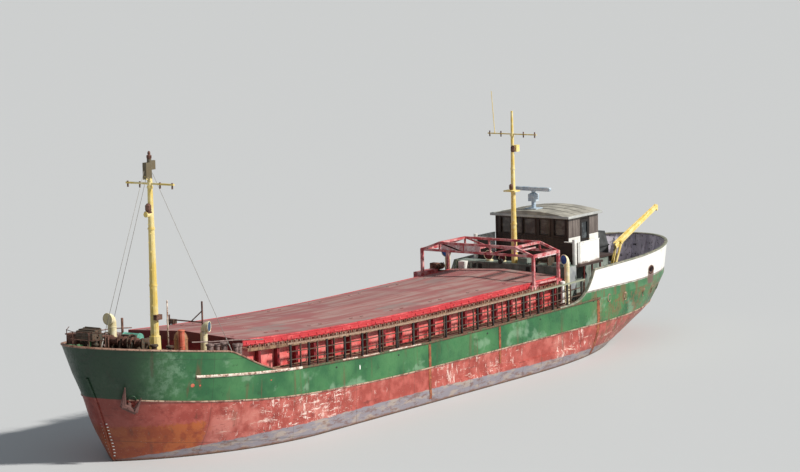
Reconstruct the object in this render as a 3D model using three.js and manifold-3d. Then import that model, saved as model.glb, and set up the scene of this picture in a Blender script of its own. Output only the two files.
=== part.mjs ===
// General cargo vessel, a coaster with one hatch, its bridge aft and a portal crane over the hatch.
// Half-scale model: +X to the bow, +Y to port, +Z up, the origin on the waterline amidships.
// Every size below is in metres of the real ship, and the last step turns it to model millimetres.
import * as THREE from 'three';
import { mergeVertices } from 'three/addons/utils/BufferGeometryUtils.js';
import Module from 'manifold-3d';

const wasm = await Module();
wasm.setup();

// Model millimetres for one metre of the real ship.
const SCALE = 500;
// Gap between pieces that touch, 0.3 mm on the model.
const GAP = 0.3 / SCALE;
const HALF_TURN = Math.PI;
const QUARTER_TURN = Math.PI / 2;

// Hull.
const HALF_BEAM = 3.78;
const AMIDSHIPS = 1.15;
const DECK_AMIDSHIPS = 2.528;
const SHEER_FORE = 0.00265;
const SHEER_AFT = 0.000596;
const KEEL_BOTTOM = -1.3;
const AFT_STEPS = 8;
const MID_STEPS = 6;
const FORE_STEPS = 9;

// Sheer line: height of the deck's edge at a place along the ship.
const sheer = (x) => DECK_AMIDSHIPS
  + SHEER_FORE * Math.max(0, x - AMIDSHIPS) ** 2
  + SHEER_AFT * Math.max(0, AMIDSHIPS - x) ** 2;

// Height of the lower rubbing strake, where the red paint ends.
const strakeLine = (x) => 1.5 + 0.00072 * Math.max(0, x - 1) ** 2.5 + 0.0004 * Math.max(0, -x - 6) ** 2;

// Top of the bulwark round the bow, and of the one round the stern.
const foreCap = (x) => 4.06 + 0.128 * (x - 15.69);
const aftCap = (x) => 4 + 0.0238 * (-10.2 - x);

// Horizontal outlines of the hull from the keel up.
// stem, stern: where the outline ends; foreRun, aftRun: length of its curved ends; half: half-breadth;
// foreFull, aftFull: how blunt the ends are; aftPower: how late the run closes; height: its height at x.
const OUTLINES = {
  keel: { stem: 16.8, foreRun: 8, foreFull: 1.1, stern: -13.5, aftRun: 8, aftPower: 2, aftFull: 1.1,
    half: 0.5, height: () => KEEL_BOTTOM },
  floor: { stem: 17.5, foreRun: 8, foreFull: 1.2, stern: -14.8, aftRun: 11.5, aftPower: 2.2, aftFull: 1,
    half: 3.05, height: () => -1.15 },
  bilge: { stem: 18.2, foreRun: 7.8, foreFull: 1.4, stern: -16.2, aftRun: 13, aftPower: 2.4, aftFull: 1,
    half: 3.6, height: () => -0.7 },
  water: { stem: 18.8, foreRun: 8.3, foreFull: 1.25, stern: -17.5, aftRun: 14.5, aftPower: 3, aftFull: 1,
    half: 3.74, height: () => 0 },
  side: { stem: 19.3, foreRun: 8.3, foreFull: 1.65, stern: -19.3, aftRun: 12.4, aftPower: 2.6, aftFull: 1.15,
    half: 3.76, height: (x) => 0.55 * strakeLine(x) },
  strake: { stem: 19.8, foreRun: 8.4, foreFull: 1.66, stern: -20, aftRun: 10, aftPower: 2.3, aftFull: 1.5,
    half: 3.78, height: strakeLine },
  deck: { stem: 20.25, foreRun: 8.9, foreFull: 1.8, stern: -20.5, aftRun: 7.6, aftPower: 2, aftFull: 1.9,
    half: 3.78, height: sheer },
  cap: { stem: 20.7, foreRun: 9.75, foreFull: 2, stern: -20.7, aftRun: 7.5, aftPower: 2, aftFull: 2,
    half: 3.78, height: foreCap },
};

// Hold, hatch coaming and hatch covers.
const HATCH_AFT = -8.6;
const HATCH_FORE = 14.35;
const COVER_COUNT = 8;
const COVER_GAP = 0.012;
const COVER_HALF = 2.853;
const COVER_BASE = 1;
const COVER_EDGE = 1.248;
const COVER_RIDGE = 1.402;
const COAMING_HALF = 2.8;
const COAMING_WALL = 0.08;
const COAMING_AFT = HATCH_AFT + 0.06;
const COAMING_FORE = HATCH_FORE - 0.06;
const RAIL_LEDGE_TOP = 0.93;
const RAIL_LEDGE_OUT = 3.07;
const STAY_PITCH = 1.2;
const HOLD = { aft: -8, fore: 13.85, half: 2.62, floor: -0.95 };

// Guard rails along the side decks.
const STANCHION_PITCH = 1.112;
const STANCHION_FORE = 11.638;
const STANCHION_COUNT = 20;
const GUARD_RAIL_Y = 3.62;
const RAIL_FORE = 12.5;
const GUARD_RAIL_HEIGHTS = [0.36, 0.68, 1];

// Bulwarks and the raised foredeck.
const PLATE = 0.05;
const FORE_SWEEP = { low: 12.58, high: 15.69 };
const AFT_SWEEP = { low: -7.23, high: -10.2 };
const BREAK_X = 15.05;
const FOREDECK_RISE = 0.7;

// Portal crane over the hatch.
const PORTAL = { foreX: -6.4, aftX: -8.45, legY: 2.96, kneeY: 2, top: 4.97, ridge: 5.32, bar: 0.1 };

// Houses aft.
const FRONT_HOUSE = { fore: -9.15, aft: -9.97, half: 2.95, top: 4.15 };
const LOW_HOUSE = { aft: -14.3, half: 2, top: 4 };
const BOAT_DECK = { fore: -10, aft: -14.55, half: 2.05, wingAft: -12.45, wingHalf: 2.85, top: 4.1 };
const WHEELHOUSE = { fore: -10.95, aft: -13.5, half: 1.95, top: 6.08, wall: 0.07 };
const DOOR = { fore: -11.95, aft: -12.7, bottom: 4.2, top: 5.95, thickness: 0.05 };
const DOOR_FRAME = 0.14;
const WINDOW = { bottom: 5.3, top: 5.98 };
const DOOR_WINDOW = { bottom: 5.05, top: 5.8 };
const PANE = 0.018;
// Front windows from starboard to port: centre and width.
const FRONT_WINDOWS = [[-1.42, 0.5], [-0.79, 0.5], [-0.15, 0.64], [0.675, 0.55], [1.485, 0.57]];
const CASING = { fore: -14.95, aft: -16.4, half: 0.75, top: 4.85 };

// Masts.
const FORE_MAST = { x: 16.15, heel: 4.45, top: 11.32, yard: 10.37, yardHalf: 1.18 };
const AFT_MAST = { x: -9.45, top: 11.04, yard: 10, yardHalf: 1.3, platform: 7.44 };

// Stern gear.
const SHAFT_HEIGHT = -0.6;
const STERN_TUBE_END = -17.55;
const PROPELLER = { x: -17.78, radius: 0.6, hub: 0.13, blades: 4 };
const RUDDER = { stockX: -18.6, nose: -18.22, tail: -19.6, bottom: -1.2, top: -0.06, tubeEnd: 0.05,
  half: 0.09 };
const SOLE = { aft: -18.8, top: -1.27, half: 0.12 };

// Stores davit on the port quarter: foot, elbow and tip.
const DAVIT = { x: -15.45, y: 1.5, foot: 3, elbowX: -16.15, elbow: 4.4, tailX: -15.75, tail: 4.24,
  tipX: -19.6, tip: 5.71 };

// Solids: small makers on three.js shapes, joined and cut as closed solids.
const point = (x, y, z) => new THREE.Vector3(x, y, z);

function toSolid(geometry) {
  const bare = geometry.clone();
  bare.deleteAttribute('normal');
  bare.deleteAttribute('uv');
  const merged = mergeVertices(bare, 1e-5);
  return new wasm.Manifold(new wasm.Mesh({
    numProp: 3,
    vertProperties: new Float32Array(merged.attributes.position.array),
    triVerts: new Uint32Array(merged.index.array),
  }));
}

// A closed body from corner points and triangles, with its faces turned outwards.
function body(points, faces) {
  const volume = faces.reduce((sum, [a, b, c]) => (
    sum + points[a].dot(new THREE.Vector3().crossVectors(points[b], points[c]))), 0);
  const turned = volume < 0 ? faces.map(([a, b, c]) => [a, c, b]) : faces;
  return new wasm.Manifold(new wasm.Mesh({
    numProp: 3,
    vertProperties: new Float32Array(points.flatMap((p) => [p.x, p.y, p.z])),
    triVerts: new Uint32Array(turned.flat()),
  }));
}

// Fan of triangles over a ring of corners that begins at index start.
function fan(start, count) {
  return Array.from({ length: count - 2 }, (_, i) => [start, start + i + 1, start + i + 2]);
}

// Strips across a symmetric ring, from its first point to the one opposite.
function ladder(start, count) {
  const faces = [];
  for (let i = 0; i < count / 2; i += 1) {
    const near = start + i;
    const far = start + ((count - i) % count);
    if (i > 0) faces.push([near, near + 1, far]);
    if (i < count / 2 - 1) faces.push([near + 1, start + count - i - 1, far]);
  }
  return faces;
}

// Skin over a row of sections with equal corner counts, closed at both ends or round in a loop.
function skin(sections, { loop = false, cap = fan } = {}) {
  const corners = sections[0].length;
  const faces = [];
  const spans = loop ? sections.length : sections.length - 1;
  for (let s = 0; s < spans; s += 1) {
    const here = s * corners;
    const next = ((s + 1) % sections.length) * corners;
    for (let i = 0; i < corners; i += 1) {
      const j = (i + 1) % corners;
      faces.push([here + i, here + j, next + j], [here + i, next + j, next + i]);
    }
  }
  if (!loop) {
    faces.push(...cap(0, corners).map(([a, b, c]) => [a, c, b]));
    faces.push(...cap((sections.length - 1) * corners, corners));
  }
  return body(sections.flat(), faces);
}

function box(x1, x2, y1, y2, z1, z2) {
  const shape = new THREE.BoxGeometry(Math.abs(x2 - x1), Math.abs(y2 - y1), Math.abs(z2 - z1));
  shape.translate((x1 + x2) / 2, (y1 + y2) / 2, (z1 + z2) / 2);
  return toSolid(shape);
}

// Turns a shape made along +Y so that it runs from one point to another.
function between(shape, from, to) {
  const way = new THREE.Vector3().subVectors(to, from);
  const turn = new THREE.Quaternion().setFromUnitVectors(point(0, 1, 0), way.clone().normalize());
  shape.applyQuaternion(turn);
  const middle = from.clone().lerp(to, 0.5);
  shape.translate(middle.x, middle.y, middle.z);
  return toSolid(shape);
}

function rod(from, to, radius, endRadius = radius, sides = 10) {
  return between(new THREE.CylinderGeometry(endRadius, radius, from.distanceTo(to), sides), from, to);
}

// A bar with its sides square to the ship where it runs along an axis or in a plane across the ship.
function bar(from, to, width, depth = width) {
  return between(new THREE.BoxGeometry(width, from.distanceTo(to), depth), from, to);
}

function ball(x, y, z, radius, sides = 10) {
  const shape = new THREE.SphereGeometry(radius, sides, Math.round(sides * 0.7));
  shape.translate(x, y, z);
  return toSolid(shape);
}

// A plate cut from an outline of [x, z] points, with its thickness across the ship.
function plate(outline, y1, y2) {
  const shape = new THREE.Shape(outline.map(([x, z]) => new THREE.Vector2(x, z)));
  const extruded = new THREE.ExtrudeGeometry(shape, { depth: y2 - y1, bevelEnabled: false });
  extruded.rotateX(QUARTER_TURN);
  extruded.translate(0, y2, 0);
  return toSolid(extruded);
}

const join = (solids) => solids.reduce((whole, next) => whole.add(next));
const mirrored = (solid) => solid.mirror([0, 1, 0]);
const bothSides = (solid) => solid.add(mirrored(solid));

// Hull outlines as points.
function forePoint(level, angle) {
  const u = Math.sin(angle);
  return { x: level.stem - level.foreRun * (1 - u),
    y: level.half * Math.max(0, 1 - u * u) ** (1 / level.foreFull) };
}

function aftPoint(level, angle) {
  const u = Math.sin(angle);
  return { x: level.stern + level.aftRun * (1 - u),
    y: level.half * Math.max(0, 1 - u ** level.aftPower) ** (1 / level.aftFull) };
}

// Port half of an outline, from the stern to the stem.
function halfOutline(level) {
  const points = [];
  for (let i = 0; i <= AFT_STEPS; i += 1) points.push(aftPoint(level, QUARTER_TURN * (1 - i / AFT_STEPS)));
  const midAft = level.stern + level.aftRun;
  const midFore = level.stem - level.foreRun;
  for (let i = 1; i < MID_STEPS; i += 1) {
    points.push({ x: midAft + (midFore - midAft) * i / MID_STEPS, y: level.half });
  }
  for (let i = 0; i <= FORE_STEPS; i += 1) points.push(forePoint(level, QUARTER_TURN * i / FORE_STEPS));
  points[0].y = 0;
  points[points.length - 1].y = 0;
  return points;
}

function ring(level) {
  const port = halfOutline(level).map(({ x, y }) => point(x, y, level.height(x)));
  const starboard = port.slice(1, -1).reverse().map((p) => point(p.x, -p.y, p.z));
  return [...port, ...starboard];
}

// Height of a line of [x, z] points that runs straight between them.
function lineHeight(line, x) {
  const last = line.findLastIndex(([start]) => start <= x);
  const i = Math.min(line.length - 2, Math.max(0, last));
  const [x1, z1] = line[i];
  const [x2, z2] = line[i + 1];
  return z1 + (z2 - z1) * (x - x1) / (x2 - x1);
}

// Height of the faceted main deck.
const DECK_LINE = halfOutline(OUTLINES.deck).map(({ x }) => [x, sheer(x)]);
const deckHeight = (x) => lineHeight(DECK_LINE, x);

// Height at which a flat foot of a given half-length stands on a deck that slopes along the ship.
const seat = (deck, x, half) => Math.max(deck(x - half), deck(x + half)) + GAP;

// Places along the ship between two ends, with each place where the deck bends.
function deckStations(aft, fore) {
  return [aft, ...DECK_LINE.map(([x]) => x).filter((x) => x > aft + 0.05 && x < fore - 0.05), fore];
}

// A half-round rubbing strake on both sides, from one place along an outline to another.
function rubbingStrake(level, aft, fore, drop, height, proud) {
  const port = halfOutline(level);
  const out = port.map((p, i) => {
    const before = port[Math.max(0, i - 1)];
    const after = port[Math.min(port.length - 1, i + 1)];
    const way = new THREE.Vector2(after.x - before.x, after.y - before.y).normalize();
    return { ...p, nx: -way.y, ny: way.x };
  });
  const sections = out.filter(({ x }) => x >= aft && x <= fore).map(({ x, y, nx, ny }) => {
    const z = level.height(x) - drop;
    const inner = -0.06;
    return [
      point(x + nx * inner, y + ny * inner, z - height / 2),
      point(x + nx * proud * 0.7, y + ny * proud * 0.7, z - height / 2),
      point(x + nx * proud, y + ny * proud, z),
      point(x + nx * proud * 0.7, y + ny * proud * 0.7, z + height / 2),
      point(x + nx * inner, y + ny * inner, z + height / 2),
    ];
  });
  return bothSides(skin(sections));
}

function hull() {
  const levels = ['keel', 'floor', 'bilge', 'water', 'side', 'strake', 'deck'];
  const shell = skin(levels.map((name) => ring(OUTLINES[name])), { cap: ladder });
  const skeg = plate([[-12, -0.2], [-12, KEEL_BOTTOM], [-13, -1.4], [SOLE.aft, -1.4], [SOLE.aft, SOLE.top],
    [-17.45, SOLE.top], [-17.45, 0.1], [-16.5, 0.3], [-12.5, 0.3]], -SOLE.half, SOLE.half);
  const sternTube = rod(point(-15, 0, SHAFT_HEIGHT), point(STERN_TUBE_END, 0, SHAFT_HEIGHT), 0.2, 0.16, 12);
  const stockTube = rod(point(RUDDER.stockX, 0, RUDDER.tubeEnd), point(RUDDER.stockX, 0, 1.1), 0.15, 0.17, 12);
  const stem = plate([[16.4, -1.3], [16.7, -1.38], [17.6, -1.2], [18.28, -0.74], [18.87, 0], [19.36, 1.42],
    [19.86, 2.64], [20.3, 3.42], [20.1, 3.42], [19.5, 2], [18.6, 0], [17.9, -0.8]], -0.06, 0.06);
  const hold = box(HOLD.aft, HOLD.fore, -HOLD.half, HOLD.half, HOLD.floor, 5);
  const strakes = [
    rubbingStrake(OUTLINES.deck, -10.6, 17.2, 0.08, 0.13, 0.06),
    rubbingStrake(OUTLINES.strake, -18, 19.6, 0, 0.14, 0.07),
  ];
  return join([shell, skeg, sternTube, stockTube, stem, ...strakes])
    .subtract(hold)
    .subtract(hawsePipe());
}

// Wall of plate that stands on the deck's edge and leans to the bulwark's top.
function bulwarkWall(stations) {
  return stations.map(({ low, high, out, top }) => [
    point(low.x, low.y, deckHeight(low.x) + GAP),
    point(high.x, high.y, top - 0.05),
    point(high.x + out.x * 0.03, high.y + out.y * 0.03, top - 0.05),
    point(high.x + out.x * 0.03, high.y + out.y * 0.03, top),
    point(high.x - out.x * 0.11, high.y - out.y * 0.11, top),
    point(high.x - out.x * 0.11, high.y - out.y * 0.11, top - 0.05),
    point(high.x - out.x * PLATE, high.y - out.y * PLATE, top - 0.05),
    point(low.x - out.x * PLATE, low.y - out.y * PLATE, deckHeight(low.x - out.x * PLATE) + GAP),
  ]);
}

// Adds the outward direction to each station of a bulwark.
function withOutward(stations) {
  return stations.map((station, i) => {
    const before = stations[Math.max(0, i - 1)].high;
    const after = stations[Math.min(stations.length - 1, i + 1)].high;
    const way = new THREE.Vector2(after.x - before.x, after.y - before.y).normalize();
    return { ...station, out: { x: -way.y, y: way.x } };
  });
}

function mirrorStations(port) {
  const flip = ({ x, y }) => ({ x, y: -y });
  const other = port.slice(0, -1).reverse();
  return [...port, ...other.map((s) => ({ ...s, low: flip(s.low), high: flip(s.high), out: flip(s.out) }))];
}

// Angle at which an outline's fore end reaches a place along the ship.
const foreAngle = (level, x) => Math.asin(1 - (level.stem - x) / level.foreRun);

// Places round the bow, low on the deck's edge and high on the bulwark's top.
function foreStations(fromX, steps) {
  const start = foreAngle(OUTLINES.deck, fromX);
  return Array.from({ length: steps + 1 }, (_, i) => {
    const angle = start + (QUARTER_TURN - start) * i / steps;
    const low = forePoint(OUTLINES.deck, angle);
    const capAngle = foreAngle(OUTLINES.cap, fromX);
    const high = forePoint(OUTLINES.cap, capAngle + (QUARTER_TURN - capAngle) * i / steps);
    if (i === steps) {
      low.y = 0;
      high.y = 0;
    }
    return { low, high };
  });
}

// Cross-sections of the raised foredeck, between the main deck and its own.
const FOREDECK = foreStations(BREAK_X, 9).slice(0, -1).map(({ low, high }) => {
  const foot = deckHeight(low.x) + GAP;
  const top = foot + FOREDECK_RISE;
  const part = FOREDECK_RISE / (foreCap(high.x) - foot);
  return { low, foot, top, x: low.x + (high.x - low.x) * part, y: low.y + (high.y - low.y) * part };
});
const FOREDECK_LINE = FOREDECK.map(({ x, top }) => [x, top]);
const foredeckHeight = (x) => lineHeight(FOREDECK_LINE, x);

// The fore bulwark sweeps down to the deck in a hollow curve.
function foreTop(x) {
  if (x >= FORE_SWEEP.high) return foreCap(x);
  const t = (FORE_SWEEP.high - x) / (FORE_SWEEP.high - FORE_SWEEP.low);
  const foot = deckHeight(FORE_SWEEP.low) + 0.09;
  return foreCap(FORE_SWEEP.high) - (foreCap(FORE_SWEEP.high) - foot) * Math.sin(t * QUARTER_TURN) ** 1.2;
}

function aftTop(x) {
  if (x <= AFT_SWEEP.high) return aftCap(x);
  const t = (x - AFT_SWEEP.high) / (AFT_SWEEP.low - AFT_SWEEP.high);
  const foot = deckHeight(AFT_SWEEP.low) + 0.09;
  return aftCap(AFT_SWEEP.high) - (aftCap(AFT_SWEEP.high) - foot) * (1 - (1 - t) ** 2.4);
}

function forecastle() {
  const steps = 16;
  const stations = withOutward(foreStations(FORE_SWEEP.low, steps))
    .map((s) => ({ ...s, top: foreTop(s.high.x) }));
  stations[steps].out = { x: 1, y: 0 };
  const wall = skin(bulwarkWall(mirrorStations(stations)));
  const half = PLATE / 2;
  const deckSections = FOREDECK.map(({ low, foot, top, x, y }) => [
    point(low.x, low.y - half, foot), point(x, y - half, top),
    point(x, half - y, top), point(low.x, half - low.y, foot)]);
  return wall.add(skin(deckSections));
}

function aftBulwark() {
  const steps = 9;
  const straight = [-7.23, -7.6, -8.1, -8.7, -9.2, -9.6, -9.9, -10.1, -10.2, -11.5, -12.6]
    .map((x) => ({ low: { x, y: HALF_BEAM }, high: { x, y: HALF_BEAM } }));
  const round = Array.from({ length: steps + 1 }, (_, i) => {
    const angle = QUARTER_TURN * i / steps;
    const low = aftPoint(OUTLINES.deck, angle);
    const high = aftPoint(OUTLINES.cap, angle);
    if (i === steps) {
      low.y = 0;
      high.y = 0;
    }
    return { low, high };
  });
  const port = withOutward([...straight, ...round]).map((s) => (
    { ...s, out: { x: -s.out.x, y: -s.out.y }, top: aftTop(s.high.x) }));
  port[port.length - 1].out = { x: -1, y: 0 };
  const wall = skin(bulwarkWall(mirrorStations(port)));
  // Fairlead openings low in the quarters.
  const fairlead = box(-15.75, -15.25, 1.8, 3.9, 3.12, 3.5);
  return wall.subtract(bothSides(fairlead));
}

function coaming() {
  const wallAt = (x, side, innerX = x) => [
    point(x, side * COAMING_HALF, deckHeight(x) + GAP),
    point(x, side * COAMING_HALF, deckHeight(x) + COVER_BASE),
    point(innerX, side * (COAMING_HALF - COAMING_WALL), deckHeight(innerX) + COVER_BASE),
    point(innerX, side * (COAMING_HALF - COAMING_WALL), deckHeight(innerX) + GAP),
  ];
  const stations = deckStations(COAMING_AFT, COAMING_FORE);
  const inner = stations.map((x) => Math.min(COAMING_FORE - COAMING_WALL, Math.max(COAMING_AFT + COAMING_WALL, x)));
  const port = stations.map((x, i) => wallAt(x, 1, inner[i]));
  const starboard = stations.map((x, i) => wallAt(x, -1, inner[i])).reverse();
  const walls = skin([...port, ...starboard], { loop: true });
  const ledge = skin(stations.map((x) => [
    point(x, COAMING_HALF - 0.04, deckHeight(x) + RAIL_LEDGE_TOP - 0.06),
    point(x, RAIL_LEDGE_OUT, deckHeight(x) + RAIL_LEDGE_TOP - 0.06),
    point(x, RAIL_LEDGE_OUT, deckHeight(x) + RAIL_LEDGE_TOP),
    point(x, COAMING_HALF - 0.04, deckHeight(x) + RAIL_LEDGE_TOP),
  ]));
  const stays = [];
  for (let x = COAMING_AFT + 0.4; x < COAMING_FORE; x += STAY_PITCH) {
    stays.push(box(x - 0.03, x + 0.03, COAMING_HALF - 0.04, RAIL_LEDGE_OUT - 0.06,
      deckHeight(x) + 0.04, deckHeight(x) + RAIL_LEDGE_TOP - 0.03));
  }
  return join([walls, bothSides(join([ledge, ...stays]))]);
}

// One pontoon cover, numbered from the bow.
function hatchCover(index) {
  const pitch = (HATCH_FORE - HATCH_AFT) / COVER_COUNT;
  const fore = HATCH_FORE - index * pitch - COVER_GAP / 2;
  const aft = fore - pitch + COVER_GAP;
  return skin([aft, fore].map((x) => {
    const deck = deckHeight(x);
    return [
      point(x, COVER_HALF, deck + COVER_BASE + GAP),
      point(x, COVER_HALF, deck + COVER_EDGE),
      point(x, 0, deck + COVER_RIDGE),
      point(x, -COVER_HALF, deck + COVER_EDGE),
      point(x, -COVER_HALF, deck + COVER_BASE + GAP),
    ];
  }));
}

function portalCrane() {
  const { foreX, aftX, legY, kneeY, top, ridge, bar: width } = PORTAL;
  const pieces = [];
  for (const x of [foreX, aftX]) {
    const foot = seat(deckHeight, x, 0.26) + RAIL_LEDGE_TOP;
    for (const side of [-1, 1]) {
      pieces.push(bar(point(x, side * legY, foot + 0.1), point(x, side * legY, top + 0.05), 0.12));
      pieces.push(box(x - 0.26, x + 0.26, side * legY - 0.07, side * legY + 0.07, foot, foot + 0.2));
      pieces.push(bar(point(x, side * legY, top), point(x, side * kneeY, ridge), width));
      pieces.push(bar(point(x, side * kneeY, top), point(x, side * kneeY, ridge), width * 0.7));
      pieces.push(bar(point(x, side * 0.7, top), point(x, side * 0.7, ridge), width * 0.7));
      pieces.push(bar(point(x, side * 0.7, top), point(x, side * kneeY, ridge), width * 0.6));
    }
    pieces.push(bar(point(x, -legY, top), point(x, legY, top), width));
    pieces.push(bar(point(x, -kneeY - 0.04, ridge), point(x, kneeY + 0.04, ridge), width));
  }
  for (const side of [-1, 1]) {
    pieces.push(bar(point(aftX, side * legY, top), point(foreX, side * legY, top), 0.13));
    pieces.push(bar(point(aftX, side * kneeY, ridge), point(foreX, side * kneeY, ridge), width));
  }
  // Plated walkway in the starboard half, and the drive at the starboard fore foot.
  pieces.push(box(aftX, foreX, -1.95, -0.75, top - 0.03, top + 0.03));
  pieces.push(box(aftX + 0.9, foreX + 0.2, -3.32, -2.9, 3.55, 3.95));
  pieces.push(box(foreX - 0.05, foreX + 0.05, -3.05, -2.9, 3.5, 3.8));
  pieces.push(bar(point(aftX, -legY, 3.75), point(foreX, -legY, 3.75), 0.08));
  pieces.push(bar(point(aftX, legY, 3.75), point(foreX, legY, 3.75), 0.08));
  return join(pieces);
}

function guardRail() {
  const xs = Array.from({ length: STANCHION_COUNT }, (_, i) => STANCHION_FORE - i * STANCHION_PITCH);
  const rails = GUARD_RAIL_HEIGHTS.map((height, i) => {
    const half = i === GUARD_RAIL_HEIGHTS.length - 1 ? 0.032 : 0.018;
    return skin([RAIL_FORE, ...xs, xs[STANCHION_COUNT - 1] - 0.1].map((x) => {
      const z = deckHeight(x) + height;
      return [
        point(x, GUARD_RAIL_Y - half, z - half),
        point(x, GUARD_RAIL_Y + half, z - half),
        point(x, GUARD_RAIL_Y + half, z + half),
        point(x, GUARD_RAIL_Y - half, z + half),
      ];
    }));
  });
  const posts = xs.map((x) => box(x - 0.026, x + 0.026, GUARD_RAIL_Y - 0.024, GUARD_RAIL_Y + 0.024,
    seat(deckHeight, x, 0.026), deckHeight(x) + 0.99));
  return join([...rails, ...posts]);
}

function foreMast() {
  const { x, heel, top, yard, yardHalf } = FORE_MAST;
  return join([
    rod(point(x, 0, seat(foredeckHeight, x, 0.24)), point(x, 0, heel), 0.24, 0.22, 12),
    rod(point(x, 0, heel - 0.05), point(x, 0, top), 0.17, 0.09, 12),
    bar(point(x, -yardHalf, yard), point(x, yardHalf, yard), 0.07),
    rod(point(x + 0.05, 0, 9.2), point(x + 0.32, 0, 9.2), 0.11, 0.11, 8),
    box(x + 0.04, x + 0.3, -0.09, 0.09, 10.55, 11.2),
    box(x - 0.3, x - 0.05, -0.06, 0.06, 10.9, 11.25),
  ]);
}

function aftMast() {
  const { x, top, yard, yardHalf, platform } = AFT_MAST;
  return join([
    rod(point(x, 0, FRONT_HOUSE.top + GAP), point(x, 0, 5.6), 0.14, 0.13, 12),
    rod(point(x, 0, 5.5), point(x, 0, top), 0.13, 0.05, 12),
    bar(point(x, -yardHalf, yard), point(x, yardHalf, yard), 0.05),
    rod(point(x - 0.03, -yardHalf + 0.35, yard), point(x - 0.03, -yardHalf + 0.2, yard + 1.9), 0.02, 0.015, 6),
    box(x - 0.1, x + 0.35, -0.3, 0.3, platform - 0.03, platform + 0.03),
    box(x - 0.28, x - 0.03, 0.02, 0.2, 9.2, 9.5),
  ]);
}

// A cowl ventilator whose mouth looks fore (1) or aft (-1).
function cowl(x, y, deck, top, radius, way) {
  const foot = seat(deck, x, radius);
  const headZ = top - radius * 1.8;
  const mouth = point(x + way * radius * 1.9, y, headZ + radius * 0.1);
  return join([
    rod(point(x, y, foot), point(x, y, headZ), radius, radius, 12),
    ball(x, y, headZ, radius * 1.5, 12),
    rod(point(x, y, headZ), mouth, radius * 1.3, radius * 1.85, 12),
  ]);
}

// Double bollard along the ship on a base plate.
function bollards(x, y, deck, spacing, radius, height) {
  const slope = (at) => deck(at) + GAP;
  const base = skin([x - spacing / 2 - radius * 1.6, x + spacing / 2 + radius * 1.6].map((at) => [
    point(at, y - radius * 1.4, slope(at)),
    point(at, y + radius * 1.4, slope(at)),
    point(at, y + radius * 1.4, slope(at) + 0.06),
    point(at, y - radius * 1.4, slope(at) + 0.06),
  ]));
  const posts = [-1, 1].flatMap((end) => {
    const at = x + end * spacing / 2;
    return [
      rod(point(at, y, slope(at) + 0.02), point(at, y, slope(at) + height), radius, radius, 12),
      rod(point(at, y, slope(at) + height - 0.06), point(at, y, slope(at) + height), radius * 1.2, radius * 1.2, 12),
    ];
  });
  return join([base, ...posts]);
}

const WINDLASS = { x: 18.1, z: 4.52, shaft: 0.07 };

function windlassBase() {
  const { x, z } = WINDLASS;
  const foot = seat(foredeckHeight, x, 0.5);
  const pieces = [box(x - 0.5, x + 0.5, -1.0, 1.0, foot, foot + 0.1)];
  for (const y of [-0.62, 0.04, 0.62]) {
    pieces.push(plate([[x - 0.32, foot + 0.05], [x + 0.32, foot + 0.05], [x + 0.14, z + 0.12],
      [x - 0.14, z + 0.12]], y - 0.04, y + 0.04));
  }
  pieces.push(box(x - 0.48, x - 0.27, -0.62, 0.62, foot + 0.05, foot + 0.3));
  pieces.push(box(x - 0.46, x - 0.29, -0.3, 0.35, foot + 0.2, z + 0.2));
  const bore = rod(point(x, -1.2, z), point(x, 1.2, z), WINDLASS.shaft + 0.012, WINDLASS.shaft + 0.012, 16);
  return join(pieces).subtract(bore);
}

// Drums, flanges and warping heads turned on one shaft across the ship.
function windlassDrums() {
  const { x, z, shaft } = WINDLASS;
  const inner = 0.58 - GAP;
  // Along the shaft: start, end and radius of each piece.
  const steps = [[-1, -0.97, 0.2], [-0.97, -0.75, 0.14], [-0.75, -0.72, 0.19], [-0.72, -inner, shaft],
    [-inner, -0.53, 0.22], [-0.53, -0.12, 0.15], [-0.12, -0.08, 0.22], [-0.08, 0.14, shaft],
    [0.14, 0.18, 0.22], [0.18, 0.53, 0.15], [0.53, inner, 0.22], [inner, 0.72, shaft],
    [0.72, 0.75, 0.19], [0.75, 0.97, 0.14], [0.97, 1, 0.2]];
  const sides = 12;
  const circle = (y, radius) => Array.from({ length: sides }, (_, i) => {
    const angle = 2 * HALF_TURN * i / sides;
    return point(x + radius * Math.cos(angle), y, z + radius * Math.sin(angle));
  });
  return skin(steps.flatMap(([from, to, radius]) => [circle(from, radius), circle(to, radius)]));
}

function bowRoller() {
  const x = 20.2;
  const foot = seat(foredeckHeight, 19.91, 0.16);
  const legs = [[19.8, 0.32], [19.8, -0.32], [20.02, 0.2], [20.02, -0.2]];
  return join([
    ...legs.map(([at, y]) => box(at - 0.05, at + 0.05, y - 0.05, y + 0.05, foot, 4.95)),
    box(x - 0.46, x + 0.12, -0.42, 0.42, 4.86, 5),
    box(x - 0.44, x - 0.3, -0.4, 0.4, 4.98, 5.28),
    box(x - 0.02, x + 0.1, -0.4, 0.4, 4.98, 5.22),
    rod(point(x - 0.16, -0.38, 5.12), point(x - 0.16, 0.38, 5.12), 0.15, 0.15, 10),
  ]);
}

// The anchor's own directions at the port bow: out from the plating, aft along it, and up.
const ANCHOR = { crown: point(19.25, 1.19, 2.2), out: point(0.77, 0.64, 0), aft: point(-0.64, 0.77, 0) };

function nearAnchor(aft, up, out) {
  return ANCHOR.crown.clone().addScaledVector(ANCHOR.aft, aft).addScaledVector(ANCHOR.out, out)
    .add(point(0, 0, up));
}

// Pipe through the bow plating that the anchor's shank is hauled into.
const SHANK = 0.085;
const hawsePipe = () => rod(nearAnchor(0, -0.14, 0.1), nearAnchor(0, 0.83, -0.6), SHANK + GAP, SHANK + GAP, 10);

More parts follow.
